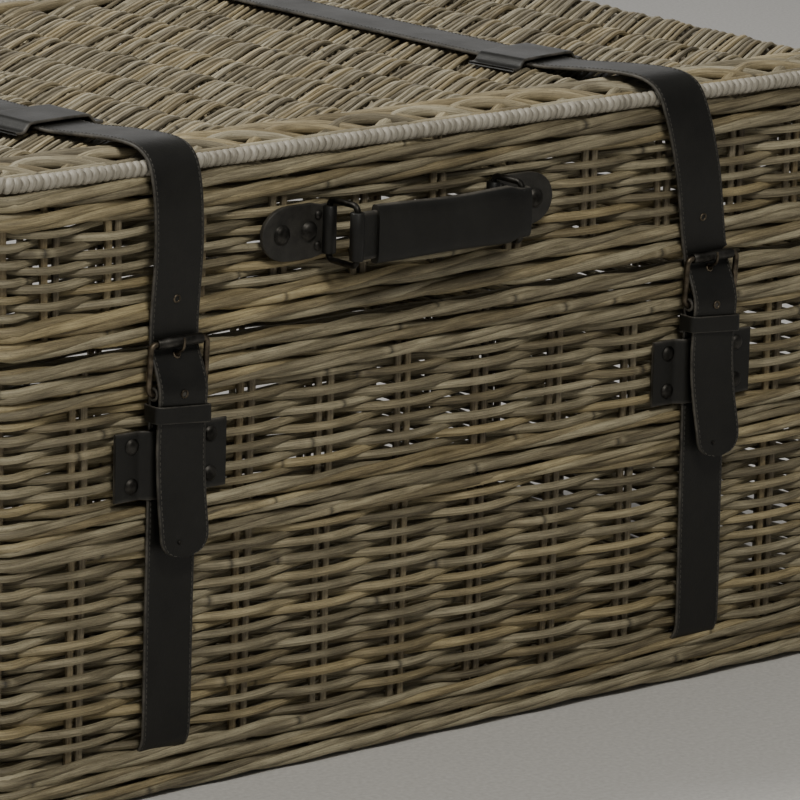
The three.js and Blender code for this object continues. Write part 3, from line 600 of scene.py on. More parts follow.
def add_weaver_row(bundle, places, number, level):
    """One row, made of a few rods whose ends are tucked behind a stake pair."""
    count = len(places)
    stations = np.concatenate([places, places + ROUND_LENGTH, places[:1] + 2 * ROUND_LENGTH])
    lift = wobble(np.linspace(0, ROUND_LENGTH, count + 1)[:-1], WEAVER_WANDER)
    lift += rng.normal(0, WEAVER_WANDER, count)
    behind = [k for k in range(count) if (k + number) % 2]
    cuts = sorted(rng.choice(behind, size=RODS_IN_ROW, replace=False).tolist())
    for first, last in zip(cuts, [*cuts[1:], cuts[0] + count]):
        steps = np.arange(first * STEPS_BETWEEN_STAKES, last * STEPS_BETWEEN_STAKES + ROD_OVERLAP_STEPS)
        phase = steps / STEPS_BETWEEN_STAKES
        travel = np.interp(phase, np.arange(len(stations)), stations)
        out = STAKE_OUT + WEAVER_SWING * np.cos(math.pi * (phase + number))
        whole = np.floor(phase).astype(int)
        share = smooth(phase - whole)
        rise = lift[whole % count] * (1 - share) + lift[(whole + 1) % count] * share
        ends = ROD_END_STEP * (smooth((phase - last) * 2) - smooth((first - phase) * 2 + 0.2))
        line = np.column_stack([round_walls(travel, out), level + rise + ends])
        radius = WEAVER_RADIUS * rng.uniform(0.86, 1.08)
        taper = 1 - 0.1 * np.abs(np.linspace(-1, 1, len(line))) ** 3
        bundle.rod_along(line, radius, UP, scale=taper)


def wale(name, body, band, rows, replaced):
    """Rows of three thick strands, each going over two thirds of its turn and under the last third."""
    bundle = Bundle()
    low, high = band
    row_height = (high - low) / rows
    radius = row_height / 4 * 1.06
    for row in range(rows):
        level = low + (row + 0.5) * row_height
        for strand in range(WALE_STRANDS):
            for part in range(WALE_PARTS):
                add_wale_strand(bundle, level, radius, strand, part, row)
    for level in np.linspace(low + 4, high - 4, 5):
        travel = np.linspace(0, ROUND_LENGTH, 220, endpoint=False)
        line = np.column_stack([round_walls(travel, INNER_POLE_OUT), level + wobble(travel, 0.6)])
        bundle.rod_along(line, INNER_POLE_RADIUS, UP, closed=True)
    return bundle.piece(name, THICK_RATTAN, body, "twisted_band", replaced)


def add_wale_strand(bundle, level, radius, strand, part, row):
    """One rod of a strand. The next rod goes on where it ends."""
    turns = WALE_TURNS / WALE_PARTS
    begin = part * turns + 5 / 6
    phase = np.arange(0, turns * 20 + 2) / 20 + begin
    travel = (phase + strand / WALE_STRANDS + row * WALE_ROW_SHIFT) * (ROUND_LENGTH / WALE_TURNS)
    share = np.mod(phase, 1.0)
    over = clamp((np.cos(2 * math.pi * (share - 1 / 3)) + 0.5) / 0.95, -1, 1)
    swing = radius * WALE_SWING
    out = WALE_OUT - radius - swing + swing * over
    front = share / (2 / 3)
    rise = np.where(front <= 1, front - 0.5, 0.5 - (share - 2 / 3) * 3)
    wander = np.interp(phase, begin + np.arange(5) * 0.85, rng.normal(0, 0.7, 5))
    line = np.column_stack([round_walls(travel, out), level + rise * WALE_RISE * radius + wander])
    thick = 1 + 0.09 * np.sin(phase * 2.1 + rng.random() * 6)
    bundle.rod_along(line, radius * rng.uniform(0.94, 1.04), UP, sides=9, scale=thick)


# ------------------------------------------------------------------ lid rim and hinge
def rim_line(travel, out=0.0, up=0.0):
    """Points beside the centre line of the lid's rim rod."""
    return np.column_stack([round_walls(travel, out - RIM_ROD_INSET), RIM_ROD_HEIGHT + up + 0 * travel])


def wrapped_rim():
    """The rim rod, with a flat cane wound round it."""
    bundle = Bundle()
    rod = rim_line(np.linspace(0, ROUND_LENGTH, 400, endpoint=False))
    bundle.rod_along(rod, RIM_ROD_RADIUS - 1.3, UP, sides=8, closed=True)
    steps = RIM_WRAP_TURNS * RIM_WRAP_STEPS
    angle = np.arange(steps) * 2 * math.pi / RIM_WRAP_STEPS
    evenly = np.arange(steps) * ROUND_LENGTH / steps
    travel = evenly + wobble(evenly, 0.35)
    reach = RIM_ROD_RADIUS - 0.9 + 0.12 * np.sin(angle / 7.3)
    line = rim_line(travel, reach * np.cos(angle), reach * np.sin(angle))
    outward = unit(line - rim_line(travel))
    section = [(2.75, -0.3), (2.1, 0.8), (0.8, 1.35), (-0.8, 1.35), (-2.1, 0.8), (-2.75, -0.3), (0.0, -0.6)]
    bundle.sweep(line, section, outward, closed=True)
    return bundle.piece("rim_wrap", CANE, "lid", "cane_wrap", ["rim_binding"])


def hinge_parts():
    """The hinge pole along the lid's back edge, and the three coils that hold it to the base."""
    bundle = Bundle()
    x = np.linspace(-HINGE_ROD_LENGTH / 2, HINGE_ROD_LENGTH / 2, 60)
    line = np.column_stack([x, np.full_like(x, HINGE_Y), np.full_like(x, HINGE_Z)])
    ends = 1 - 0.35 * smooth((np.abs(x) - HINGE_ROD_LENGTH / 2 + 6) / 6)
    bundle.rod_along(line, HINGE_ROD_RADIUS, UP, sides=18, scale=ends)
    bundle.piece("hinge_pole", THICK_RATTAN, "lid", "cane_wrap", ["hinge_rod"])
    for name, middle in HINGE_LOOPS.items():
        hinge_coil(name, middle)


def hinge_coil(name, middle):
    """A thin cane wound round the pole, with its tail tucked into the base's rim."""
    coil = Bundle()
    angle = np.linspace(0.5, 0.5 + HINGE_COIL_TURNS * 2 * math.pi, 90)
    x = middle + np.linspace(-4.6, 4.6, 90)
    reach = HINGE_ROD_RADIUS + 1.9
    line = np.column_stack([x, HINGE_Y - reach * np.cos(angle), HINGE_Z - reach * np.sin(angle)])
    tail_y = np.linspace(HINGE_Y - 16, HINGE_Y - 7, 8)
    tail = np.column_stack([np.full(8, middle - 4.6), tail_y, np.linspace(309.5, 312.2, 8)])
    coil.rod_along(np.vstack([tail, line]), 1.6, (0.2, 0.1, 1), sides=8)
    coil.piece(f"hinge_coil_{name}", CANE, "base", "cane_wrap", [f"hinge_loop_{name}"])


# ------------------------------------------------------------------ lid top
# How a ridge's strand runs: (share of its length, share of its height, share of its lean).
RIDGE_RISE = [
    (0, 0, 0),
    (0.08, 0.36, 0.1),
    (0.16, 0.57, 0.2),
    (0.6, 0.93, 0.8),
    (0.76, 1, 0.97),
    (0.9, 0.66, 1),
    (1, 0, 1),
]
LAST_RIDGE_RISE = [
    (0, 0, 0),
    (0.08, 0.36, 0.1),
    (0.18, 0.57, 0.2),
    (0.64, 0.94, 0.8),
    (0.8, 1, 0.97),
    (0.9, 0.7, 1),
    (1, 0, 1),
]
FIRST_RIDGE_RISE = [
    (0, 0.1, 0),
    (0.12, 0.7, 0.1),
    (0.25, 1.0, 0.25),
    (0.6, 0.8, 0.7),
    (0.8, 0.5, 0.8),
    (1, 0, 0.8),
]


def ridge_strand(ridge_x, y, is_first, is_last):
    """A ridge's strand comes up from under the ridge before, leans over and dives under the next."""
    start = ridge_x - RIDGE_PITCH + 8
    end = ridge_x + 24
    share = np.linspace(0, 1, 15)
    top = RIM_TOP - 0.2 + rng.normal(0, 0.6)
    bottom = RIM_TOP - RIDGE_DEPTH
    rise = RIDGE_RISE
    if is_last:
        end = HALF_LENGTH + 0.6
        rise = LAST_RIDGE_RISE
        top += EDGE_RIDGE_GAIN
    if is_first:
        start = -HALF_LENGTH + 0.2
        rise = FIRST_RIDGE_RISE
        top += EDGE_RIDGE_GAIN
    places, heights, aside = np.array(rise).T
    height = np.interp(share, places, heights)
    height = np.convolve(np.pad(height, 1, mode="edge"), (0.22, 0.56, 0.22), mode="valid")
    slant = STRAND_LEAN * rng.uniform(0.85, 1.15) * np.interp(share, places, aside)
    x = start + (end - start) * share + rng.normal(0, 0.8)
    return np.column_stack([x, y + slant, bottom + (top - bottom) * height])


def lid_top_weave():
    """Ridges that run from front to back, each a rope-like row of strands lying across it."""
    bundles = [Bundle(), Bundle()]
    low, high = -HALF_DEPTH + 22, HALF_DEPTH - 60
    for ridge in range(RIDGE_COUNT):
        ridge_x = RIDGE_LAST - RIDGE_PITCH * ridge
        is_last, is_first = ridge == 0, ridge == RIDGE_COUNT - 1
        first, final = (low - 20, high + 12) if is_last or is_first else (low, high)
        y = first + rng.uniform(0, STRAND_PITCH)
        while y < final:
            line = ridge_strand(ridge_x, y, is_first, is_last)
            radius = rng.uniform(*STRAND_RADIUS)
            flat = np.tile((1.0, 0.92), (len(line), 1))
            bundles[ridge % 2].rod_along(line, radius, UP, scale=flat)
            y += STRAND_PITCH * rng.uniform(0.86, 1.1)
    bundles[0].piece("lid_ridges_even", TOP_PAINTED_LIGHT_RATTAN, "lid", "rattan_weave", ["lid_top_panel"])
    bundles[1].piece("lid_ridges_odd", TOP_PAINTED_LIGHT_RATTAN, "lid", "rattan_weave")
    lid_ribs()


def lid_ribs():
    """Pairs of ribs under the ridges, from front to back."""
    ribs = Bundle()
    y = np.linspace(-HALF_DEPTH + 10, HALF_DEPTH - 10, 14)
    for ridge in range(RIDGE_COUNT):
        ridge_x = RIDGE_LAST - RIDGE_PITCH * ridge - 9
        for side in (-1, 1):
            x = clamp(ridge_x + side * 4.4, -HALF_LENGTH + 15, HALF_LENGTH - 15)
            line = np.column_stack([np.full(14, x), y, np.full(14, RIM_TOP - 8.2)])
            ribs.rod_along(line, 2.7, UP)
    ribs.piece("lid_ribs", STAKE_RATTAN, "lid", "rattan_weave")


def border_curve(points, x, side, bundle, radius):
    """One strand of the lid's braided border. Points are (along, in from the wall, height under the rim)."""
    line = []
    for along, inwards, under in points:
        line.append((x + along, side * (HALF_DEPTH - inwards), RIM_TOP - under))
    line = curve_through(line, 16)
    line[:, 0] = clamp(line[:, 0], -HALF_LENGTH + 8, HALF_LENGTH - 9)
    bundle.rod_along(line, radius, UP, sides=9)


def lid_border():
    """The braid along the lid's front and back edges: long arcs, short arches over them and cut ends."""
    for label, side in (("front", -1), ("back", 1)):
        bundle = Bundle()
        x = -HALF_LENGTH - 60.0
        while x < HALF_LENGTH - 30:
            near = rng.normal(0, 1.2)
            long_arc = [(-14, 60, 11), (18, 52 + near, 2.0), (56, 43, -0.6), (98, 32, 1.6), (140, 17, 11)]
            border_curve(long_arc, x, side, bundle, rng.uniform(4.3, 5.0))
            arch = [(10, 17, 11), (32, 28 + near, 3.0), (62, 36, -0.4), (92, 27, 1.8), (120, 15, 10.5)]
            border_curve(arch, x + rng.normal(0, 3), side, bundle, rng.uniform(4.0, 4.7))
            stub = [(-30, 30, 12), (-6, 20, 6.5), (20, 16, 4.6), (46 + rng.normal(0, 6), 15.5, 4.4)]
            border_curve(stub, x, side, bundle, rng.uniform(3.6, 4.3))
            x += RIDGE_PITCH
        bundle.piece(f"lid_border_{label}", TOP_PAINTED_LIGHT_RATTAN, "lid", "rattan_weave")


def woven_floor():
    """The base's floor: weavers across, over and under ribs that run from front to back."""
    bundle = Bundle()
    half_x, half_y = FLOOR_HALF
    ribs = np.arange(-FLOOR_RIBS, FLOOR_RIBS + 1) * half_x / FLOOR_RIBS
    for rib in ribs:
        y = np.linspace(-half_y, half_y, 8)
        x = np.full(8, clamp(rib, 5 - half_x, half_x - 5))
        bundle.rod_along(np.column_stack([x, y, np.full(8, FLOOR_Z)]), 2.9, UP)
    spacing = ribs[1] - ribs[0]
    for row in range(FLOOR_ROWS):
        y = -half_y + (row + 0.5) * 2 * half_y / FLOOR_ROWS
        x = np.linspace(-half_x, half_x, 97)
        z = FLOOR_Z + 3.1 * np.cos(math.pi * (x / spacing + row))
        sway = rng.normal(0, 0.3) + 0.5 * np.sin(x / 90 + rng.random() * 6)
        radius = 2.6 * rng.uniform(0.92, 1.05)
        bundle.rod_along(np.column_stack([x, y + sway, z]), radius, UP, sides=6)
    return bundle.piece("woven_floor", RATTAN, "base", "rattan_weave", ["base_floor"])


# ------------------------------------------------------------------ leather
def strip_section(width, thickness, crown=0.0):
    """Outline of a leather strip with rounded long edges, and how worn each point is: only the edges are."""
    half, low = width / 2, thickness / 2
    round_off = thickness * 0.42
    outline = []
    wear = []
    for side, start in ((1, -math.pi / 2), (-1, math.pi / 2)):
        for angle in np.linspace(start, start + math.pi, 7):
            across = side * (half - round_off) + round_off * math.cos(angle)
            flat = np.sign(round(math.sin(angle), 6))
            outline.append((across, (low - round_off) * flat + round_off * math.sin(angle)))
            wear.append(0.25 + 0.75 * abs(math.cos(angle)))
        for share in (0.92, 0.6, 0.2, -0.2, -0.6, -0.92):
            bulge = crown * (1 - share * share) if side > 0 else 0
            outline.append((side * share * (half - round_off), side * low + bulge))
            wear.append(0.0)
    return np.array(outline), np.array(wear)


def strip(line, width, thickness, facing, widths=None, crown=0.0):
    """A flat leather strip along a line. Facing is the way its outer face looks, and widths narrows it."""
    bundle = Bundle()
    section, wear = strip_section(width, thickness, crown)
    scale = None
    if widths is not None:
        scale = np.column_stack([widths, np.ones(len(widths))])
    bundle.sweep(line, section, facing, scale=scale, wear=wear, tone=0.5)
    return bundle


def facing_of(line, across):
    """The way a strip looks when its width lies along "across"."""
    along = unit(np.gradient(np.asarray(line, float), axis=0))
    return unit(np.cross(np.broadcast_to(across, along.shape), along))


def stitches(bundle, line, facing, offset, lift, widths=None):
    """A row of short stitches beside a strip's edge, half sunk in the leather."""
    along = unit(np.gradient(line, axis=0))
    across = np.cross(along, facing)
    narrow = np.ones(len(line)) if widths is None else widths
    path = line + across * (offset * narrow)[:, None] + facing * lift
    travel = distances(path)
    for number in range(int((travel[-1] - 4) / STITCH_PITCH)):
        where = 2.5 + number * STITCH_PITCH + np.array([0, 0.3, 0.7, 1]) * STITCH_LENGTH
        short = at_distances(where, travel, path)
        out = at_distances(where, travel, facing)
        arch = np.array([-0.25, 0.12, 0.12, -0.25])[:, None]
        bundle.rod_along(short + out * arch, STITCH_RADIUS, out, sides=5)


def leather(name, line, width, facing, body, replaced, thickness=STRAP_THICKNESS, widths=None, crown=0.0):
    piece = strip(line, width, thickness, facing, widths, crown)
    return piece.piece(name, LEATHER, body, "black_leather", replaced)


def seams(name, line, facing, body, widths=None):
    """Stitches along both edges of a strap."""
    seam = Bundle()
    for side in (-1, 1):
        offset = side * (STRAP_WIDTH / 2 - SEAM_INSET)
        stitches(seam, line, facing, offset, STRAP_THICKNESS / 2, widths)
    seam.piece(f"{name}_seams", THREAD, body, "black_leather")


def front_points(x, places):
    """Points at one x on the front, from their (out, height)."""
    return [(x, -HALF_DEPTH - out, z) for out, z in places]


def over_strap_line(side):
    """From the seam up the lid's front, over the lid and down to its lower band at the back."""
    front = [
        (STRAP_MIDDLE_OUT, LID_BOTTOM),
        (STRAP_MIDDLE_OUT + 0.6, LID_BOTTOM + 20),
        (9.4, LID_BOTTOM + 62),
        (10, LID_BOTTOM + 92),
        (8, LID_BOTTOM + 113),
        (3, RIM_TOP),
        (-8, RIM_TOP + 7.8),
        (-26, RIM_TOP + 10),
        (-56, RIM_TOP + 8.4),
        (22 - KEEPER_FROM_FRONT, STRAP_CREST + 1),
        (8 - KEEPER_FROM_FRONT, STRAP_CREST),
        (-KEEPER_FROM_FRONT, STRAP_CREST),
        (-KEEPER_FROM_FRONT - 60, STRAP_CREST),
    ]
    points = front_points(0.0, front)
    points += [(0, y, STRAP_CREST) for y in (-20.0, 80.0, 170.0, HALF_DEPTH - 40, HALF_DEPTH - 18)]
    points += [
        (0, HALF_DEPTH - 5, RIM_TOP + 3.4),
        (0, HALF_DEPTH + 2.6, RIM_TOP - 2),
        (0, HALF_DEPTH + STRAP_MIDDLE_OUT, RIM_TOP - 12),
        (0, HALF_DEPTH + STRAP_MIDDLE_OUT, RIM_TOP - 40),
        (0, HALF_DEPTH + STRAP_MIDDLE_OUT, LID_BOTTOM + 30),
    ]
    line = curve_through(points, 170)
    run = line[:, 2] - LID_BOTTOM + np.maximum(0, line[:, 1] + HALF_DEPTH)
    run[line[:, 1] > HALF_DEPTH - 60] = 2 * HALF_DEPTH
    stations = [0, LID_LENGTH_UP, LID_LENGTH_UP + KEEPER_FROM_FRONT + KEEPER_LENGTH / 2, 2 * HALF_DEPTH]
    drift = np.interp(run, stations, [0, *STRAP_DRIFT[side]])
    kernel = np.hanning(15)
    padded = np.pad(drift, 7, mode="edge")
    line[:, 0] = STRAP_X[side] + np.convolve(padded, kernel / kernel.sum(), mode="valid")
    line[0, 0] = STRAP_X[side]
    return line


def strap_end_line(side):
    """From the seam, behind the roller, out over the heel bar and down through the leather loop."""
    places = [
        (STRAP_MIDDLE_OUT, LID_BOTTOM),
        (STRAP_MIDDLE_OUT + 0.4, LID_BOTTOM - 4),
        (10.8, 304.5),
        (14.7, 293),
        (14.4, 282),
        (13.6, 270),
        (13.0, 248),
        (14.0, STRAP_END_TIP + 42),
        (16.0, STRAP_END_TIP + 18),
        (17.0, STRAP_END_TIP),
    ]
    line = curve_through(front_points(0.0, places), 60)
    line[:, 0] = STRAP_X[side] + TAIL_BEND[side] * smooth((LOOP_LOW - 14 - line[:, 2]) / 80)
    return line


def tip_widths(line, end_z, length):
    """Full width, then a rounded tip over the last stretch."""
    share = clamp((line[:, 2] - end_z) / length, 0.0, 1.0)
    return 0.12 + 0.88 * np.sqrt(clamp(1 - (1 - share) ** 2.4, 0, 1))


def lathe(bundle, centre, axis, side_axis, profile, sides=20):
    """A turned shape. The profile is (radius, distance along the axis), from one end to the other."""
    axis, side_axis = np.asarray(axis, float), np.asarray(side_axis, float)
    other = np.cross(axis, side_axis)
    angles = full_turn(sides)
    ring = np.cos(angles)[:, None] * side_axis + np.sin(angles)[:, None] * other
    profile = np.asarray(profile, float)
    rings = np.asarray(centre, float) + profile[:, None, :1] * ring + profile[:, None, 1:] * axis
    bundle.add_grid(rings, rings.copy(), False, 0.5, None)


def tube_profile(radii, half, chamfer):
    """A hollow tube's outer side. The radii are its bore, where its chamfer starts, and its full radius."""
    bore, shoulder, full = radii
    end = [(bore, half), (shoulder, half), (full, half - chamfer)]
    return [(radius, -along) for radius, along in end] + end[::-1]


def dome_rivet(name, x, z, seat_out, size, body, replaced, at_back=False):
    """A domed rivet head on a thin washer lip, on the front or on the back."""
    radius, height = size
    bundle = Bundle()
    profile = [(radius * 0.4, -1.2), (radius, -0.2), (radius * 1.04, 0.25), (radius * 0.97, 0.55)]
    for angle in np.linspace(0.12, 0.5, 7) * math.pi:
        profile.append((radius * 0.93 * math.cos(angle) + 0.05, 0.5 + (height - 0.5) * math.sin(angle)))
    way = 1 if at_back else -1
    lathe(bundle, (x, way * (HALF_DEPTH + seat_out), z), (0.0, way, 0.0), RIGHT, profile)
    return bundle.piece(name, BLACK_METAL, body, "black_metal", replaced)


def eyelet(name, line, facings, height, body):
    """A small pressed ring on a strap's outer face at the given height, with a dark disc in its hole as
    painted shade.
    """
    near = int(np.argmin(np.abs(line[:, 2] - height) + np.where(line[:, 1] > 0, 1000, 0)))
    facing = unit(facings[near])
    centre = line[near] + facing * STRAP_THICKNESS / 2
    angles = full_turn(18)
    across, up = np.array(RIGHT), np.cross(facing, RIGHT)
    circle = (np.cos(angles)[:, None] * across + np.sin(angles)[:, None] * up) * EYELET_RADIUS
    ring = Bundle()
    ring.rod_along(centre + circle + facing * 0.25, 0.75, facing, sides=8, closed=True)
    ring.piece(name, BRONZE_METAL, body, "bronzed_metal")
    # Painted shade: a dark disc in thread colour fills the eyelet's hole in place of an opening.
    hole_shade_disc = Bundle()
    lathe(hole_shade_disc, centre, facing, RIGHT, [(2.2, -0.5), (2.2, 0.12), (0.05, 0.02)], sides=14)
    hole_shade_disc.piece(f"{name}_hole", THREAD, body, "black_leather")


def bent_plate_line(half_width, channel, seat_out):
    """Centre line (across, out) of a leather plate with flat wings and a raised middle."""
    channel_half, channel_out = channel
    shoulder = channel_half + 3.0
    half = [
        (channel_half - 5, channel_out),
        (channel_half, channel_out - 0.8),
        (shoulder + 2, seat_out + 0.3),
        (shoulder + 9, seat_out),
        (half_width, seat_out),
    ]
    mirrored = [(-across, out) for across, out in reversed(half)]
    return curve_through([*mirrored, (0, channel_out + 0.2), *half], 44)


def rounded_corners(width, height, corner, steps):
    """Points on the four round corners of a rectangle, measured from its middle."""
    points = []
    for across, up, quarter in ((1, 1, 0), (-1, 1, 1), (-1, -1, 2), (1, -1, 3)):
        for angle in (np.linspace(0, 1, steps) + quarter) * math.pi / 2:
            wide = across * (width / 2 - corner) + corner * math.cos(angle)
            high = up * (height / 2 - corner) + corner * math.sin(angle)
            points.append((wide, high))
    return np.array(points)


def strap_patch(side):
    """The riveted patch on the base that the lower strap runs under."""
    flat = bent_plate_line(PATCH_HALF_WIDTH, PATCH_CHANNEL, 1.7)
    middle = np.full(len(flat), (PATCH_LOW + PATCH_HIGH) / 2)
    line = np.column_stack([STRAP_X[side] + flat[:, 0], -HALF_DEPTH - flat[:, 1], middle])
    facing = facing_of(line, (0, 0, -1))
    height = PATCH_HIGH - PATCH_LOW
    replaced = [f"strap_patch_{side}"]
    leather(f"patch_{side}", line, height, facing, "base", replaced, thickness=PATCH_THICKNESS)
    for number, (sign, row) in enumerate([(-1, 1), (-1, 0), (1, 1), (1, 0)], start=1):
        x = STRAP_X[side] + sign * PATCH_RIVET_X
        name = f"patch_stud_{side}_{number}"
        replaced = [f"patch_rivet_{side}_{number}"]
        dome_rivet(name, x, PATCH_RIVET_Z[row], 3.2, PATCH_RIVET, "base", replaced)


def top_keeper(side):
    """The riveted plate on the lid's top that the strap runs under."""
    flat = bent_plate_line(KEEPER_HALF_WIDTH, KEEPER_CHANNEL, RIM_TOP + 2.2)
    x = STRAP_X[side] + STRAP_DRIFT[side][1]
    y = -HALF_DEPTH + KEEPER_FROM_FRONT + KEEPER_LENGTH / 2
    turn = math.radians(KEEPER_TURN[side])
    line = np.column_stack([x + flat[:, 0] * math.cos(turn), y + flat[:, 0] * math.sin(turn), flat[:, 1]])
    facing = facing_of(line, (-math.sin(turn), math.cos(turn), 0.0))
    if facing[len(facing) // 2][2] < 0:
        facing = -facing
    name = f"keeper_plate_{side}"
    replaced = [f"top_keeper_{side}"]
    leather(name, line, KEEPER_LENGTH - 6, facing, "lid", replaced, thickness=KEEPER_THICKNESS)


def keeper_loop(side):
    """A band of leather round the strap end and the lower strap, a little askew."""
    back, front = LOOP_OUT
    points = rounded_corners(STRAP_WIDTH + LOOP_PLAY, front - back, 3.6, 5)
    tilt = 0.3 - 0.08 * points[:, 0]
    centre = np.array([STRAP_X[side], -HALF_DEPTH - (front + back) / 2, (LOOP_LOW + LOOP_HIGH) / 2])
    line = centre + np.column_stack([points[:, 0], -points[:, 1], tilt])
    section, wear = strip_section(LOOP_HIGH - LOOP_LOW - 2.8, 1.6)
    outward = unit((line - centre) * (1, 1.6, 0))
    bundle = Bundle()
    bundle.sweep(line, section, outward, closed=True, wear=wear, tone=0.5)
    bundle.piece(f"loop_{side}", LEATHER, f"keeper_{side}", "black_leather", [f"keeper_loop_{side}"])


def lower_strap(side):
    """The strap that holds the buckle: up from behind the foot band, and folded over the heel bar."""
    x = STRAP_X[side]
    places = [(-6.0, 29), (-2.6, 34), (1.4, 40), (3.7, 52), (3.7, 120), (3.9, 200), (3.7, 262), (3.7, 281)]
    lean = STRAP_FOOT_LEAN[side]
    line = curve_through([(x + lean * (1 - z / HEEL_Z), -HALF_DEPTH - out, z) for out, z in places], 50)
    facing = facing_of(line, RIGHT)
    name = f"buckle_strap_{side}"
    leather(name, line, STRAP_WIDTH, facing, "base", [f"lower_strap_{side}"])
    seams(name, line, facing, "base")
    for label, shift in (("a", -12.2), ("b", 12.2)):
        buckle_fold(f"buckle_fold_{side}_{label}", x + shift)


def buckle_fold(name, x):
    """One of the two leather tongues round the heel bar. The prong stands between them."""
    reach = 3.85
    angle = np.linspace(math.pi, -0.75 * math.pi, 26)
    places = [(3.75, 277.0), (3.75, 283.0)]
    places += [(HEEL_OUT + reach * math.cos(a), HEEL_Z + reach * math.sin(a)) for a in angle]
    line = np.array(front_points(x, places))
    leather(name, line, 17.0, facing_of(line, RIGHT), "base", [])


def wire_ring(bundle, centre, width_axis, height_axis, width, height, corner, radius):
    """A closed wire with rounded corners. Width and height are centre to centre."""
    points = rounded_corners(width, height, corner, 7)
    line = np.array(centre) + points[:, :1] * np.array(width_axis) + points[:, 1:] * np.array(height_axis)
    bundle.rod_along(line, radius, np.cross(width_axis, height_axis), sides=14, closed=True)


def buckle(side):
    x = STRAP_X[side]
    rise = np.array([0.0, -(ROLLER_OUT - HEEL_OUT), ROLLER_Z - HEEL_Z])
    height = np.linalg.norm(rise)
    heel = np.array([x, -HALF_DEPTH - HEEL_OUT, HEEL_Z])
    wire = Bundle()
    wire_ring(wire, heel + rise / 2, RIGHT, rise / height, 2 * BUCKLE_HALF_WIDTH, height, 4.2, BUCKLE_WIRE)
    replaced = [f"buckle_frame_{side}"]
    wire.piece(f"buckle_wire_{side}", BRONZE_METAL, f"buckle_{side}", "bronzed_metal", replaced)
    roller = Bundle()
    profile = tube_profile((2.3, 3.3, ROLLER_RADIUS), ROLLER_HALF, 0.6)
    lathe(roller, (x, -HALF_DEPTH - ROLLER_OUT, ROLLER_Z), RIGHT, UP, profile, sides=24)
    replaced = [f"buckle_roller_{side}"]
    roller.piece(f"roller_tube_{side}", BLACK_METAL, f"roller_{side}", "black_metal", replaced)
    prong(side, heel)


def prong(side, heel):
    """The prong: a wire from an eye on the heel bar to a tip that hooks over the roller."""
    wire = Bundle()
    reach = ROLLER_RADIUS + PRONG_RADIUS + 0.6
    places = [
        (HEEL_OUT, HEEL_Z + 3.4),
        (HEEL_OUT - 1.4, HEEL_Z + 10),
        (4.6, HEEL_Z + 18),
        (5.0, HEEL_Z + 24),
        (ROLLER_OUT - 0.2, ROLLER_Z - 7.6),
        (ROLLER_OUT + 0.74 * reach, ROLLER_Z - 4.6),
        (ROLLER_OUT + reach, ROLLER_Z),
        (ROLLER_OUT + 0.93 * reach, ROLLER_Z + 3.6),
    ]
    line = curve_through(front_points(STRAP_X[side], places), 26)
    slim = 1 - 0.45 * smooth(np.linspace(-1.2, 1, len(line)))
    wire.rod_along(line, PRONG_RADIUS, RIGHT, sides=12, scale=slim)
    angles = full_turn(22)
    eye = heel + 3.6 * np.column_stack([np.zeros(22), np.cos(angles), np.sin(angles)])
    section = [(2.8, -0.9), (2.8, 0.7), (2.2, 1.0), (-2.2, 1.0), (-2.8, 0.7), (-2.8, -0.9)]
    wire.sweep(eye, section, unit(eye - heel), closed=True)
    replaced = [f"buckle_prong_{side}"]
    wire.piece(f"prong_wire_{side}", BRONZE_METAL, f"prong_{side}", "bronzed_metal", replaced)


def long_strap(side):
    """The strap over the lid, with its eyelet."""
    line = over_strap_line(side)
    facing = facing_of(line, RIGHT)
    name = f"long_strap_{side}"
    leather(name, line, STRAP_WIDTH, facing, "lid", [f"over_strap_{side}"], crown=0.3)
    seams(name, line, facing, "lid")
    return line, facing


def strap_tail(side):
    """The strap's end, which hangs from just under the lid's seam."""
    line = strap_end_line(side)
    widths = tip_widths(line, STRAP_END_TIP, 17.0)
    facing = facing_of(line, (-1.0, 0.0, 0.0))
    heights = (LID_BOTTOM - 1, LID_BOTTOM - 20)
    bend = front_points(STRAP_X[side], [(STRAP_MIDDLE_OUT, z) for z in heights])
    start, end = (tuple(v * MM for v in point) for point in bend)
    body = ("lid", f"strap_end_{side}", start, end)
    name = f"strap_tail_{side}"
    leather(name, line, STRAP_WIDTH, facing, body, [f"strap_end_{side}"], widths=widths)
    seams(name, line, facing, body, widths)
    return line, facing


def strap_set(side):
    """All that belongs to one strap, from the buckle's strap to the rivets at the back."""
    x = STRAP_X[side]
    line, facing = long_strap(side)
    end, end_facing = strap_tail(side)
    strap_patch(side)
    top_keeper(side)
    keeper_loop(side)
    lower_strap(side)
    buckle(side)
    eyelet(f"eyelet_high_{side}", line, facing, LID_BOTTOM + 31, "lid")
    eyelet(f"eyelet_prong_{side}", end, end_facing, ROLLER_Z - 10.5, f"strap_end_{side}")
    eyelet(f"eyelet_low_{side}", end, end_facing, HEEL_Z + 0.5, f"strap_end_{side}")
    out = STRAP_MIDDLE_OUT + STRAP_THICKNESS / 2
    for number, shift in enumerate((-11, 11), start=1):
        stud_x = x + STRAP_DRIFT[side][2] + shift
        name = f"back_stud_{side}_{number}"
        dome_rivet(name, stud_x, LID_BOTTOM + 42, out, PATCH_RIVET, "lid", [], at_back=True)
    stud_x = x - 5 + 0.8 * TAIL_BEND[side]
    dome_rivet(f"tail_stud_{side}", stud_x, STRAP_END_TIP + 11, 17.8, TAIL_RIVET, f"strap_end_{side}", [])


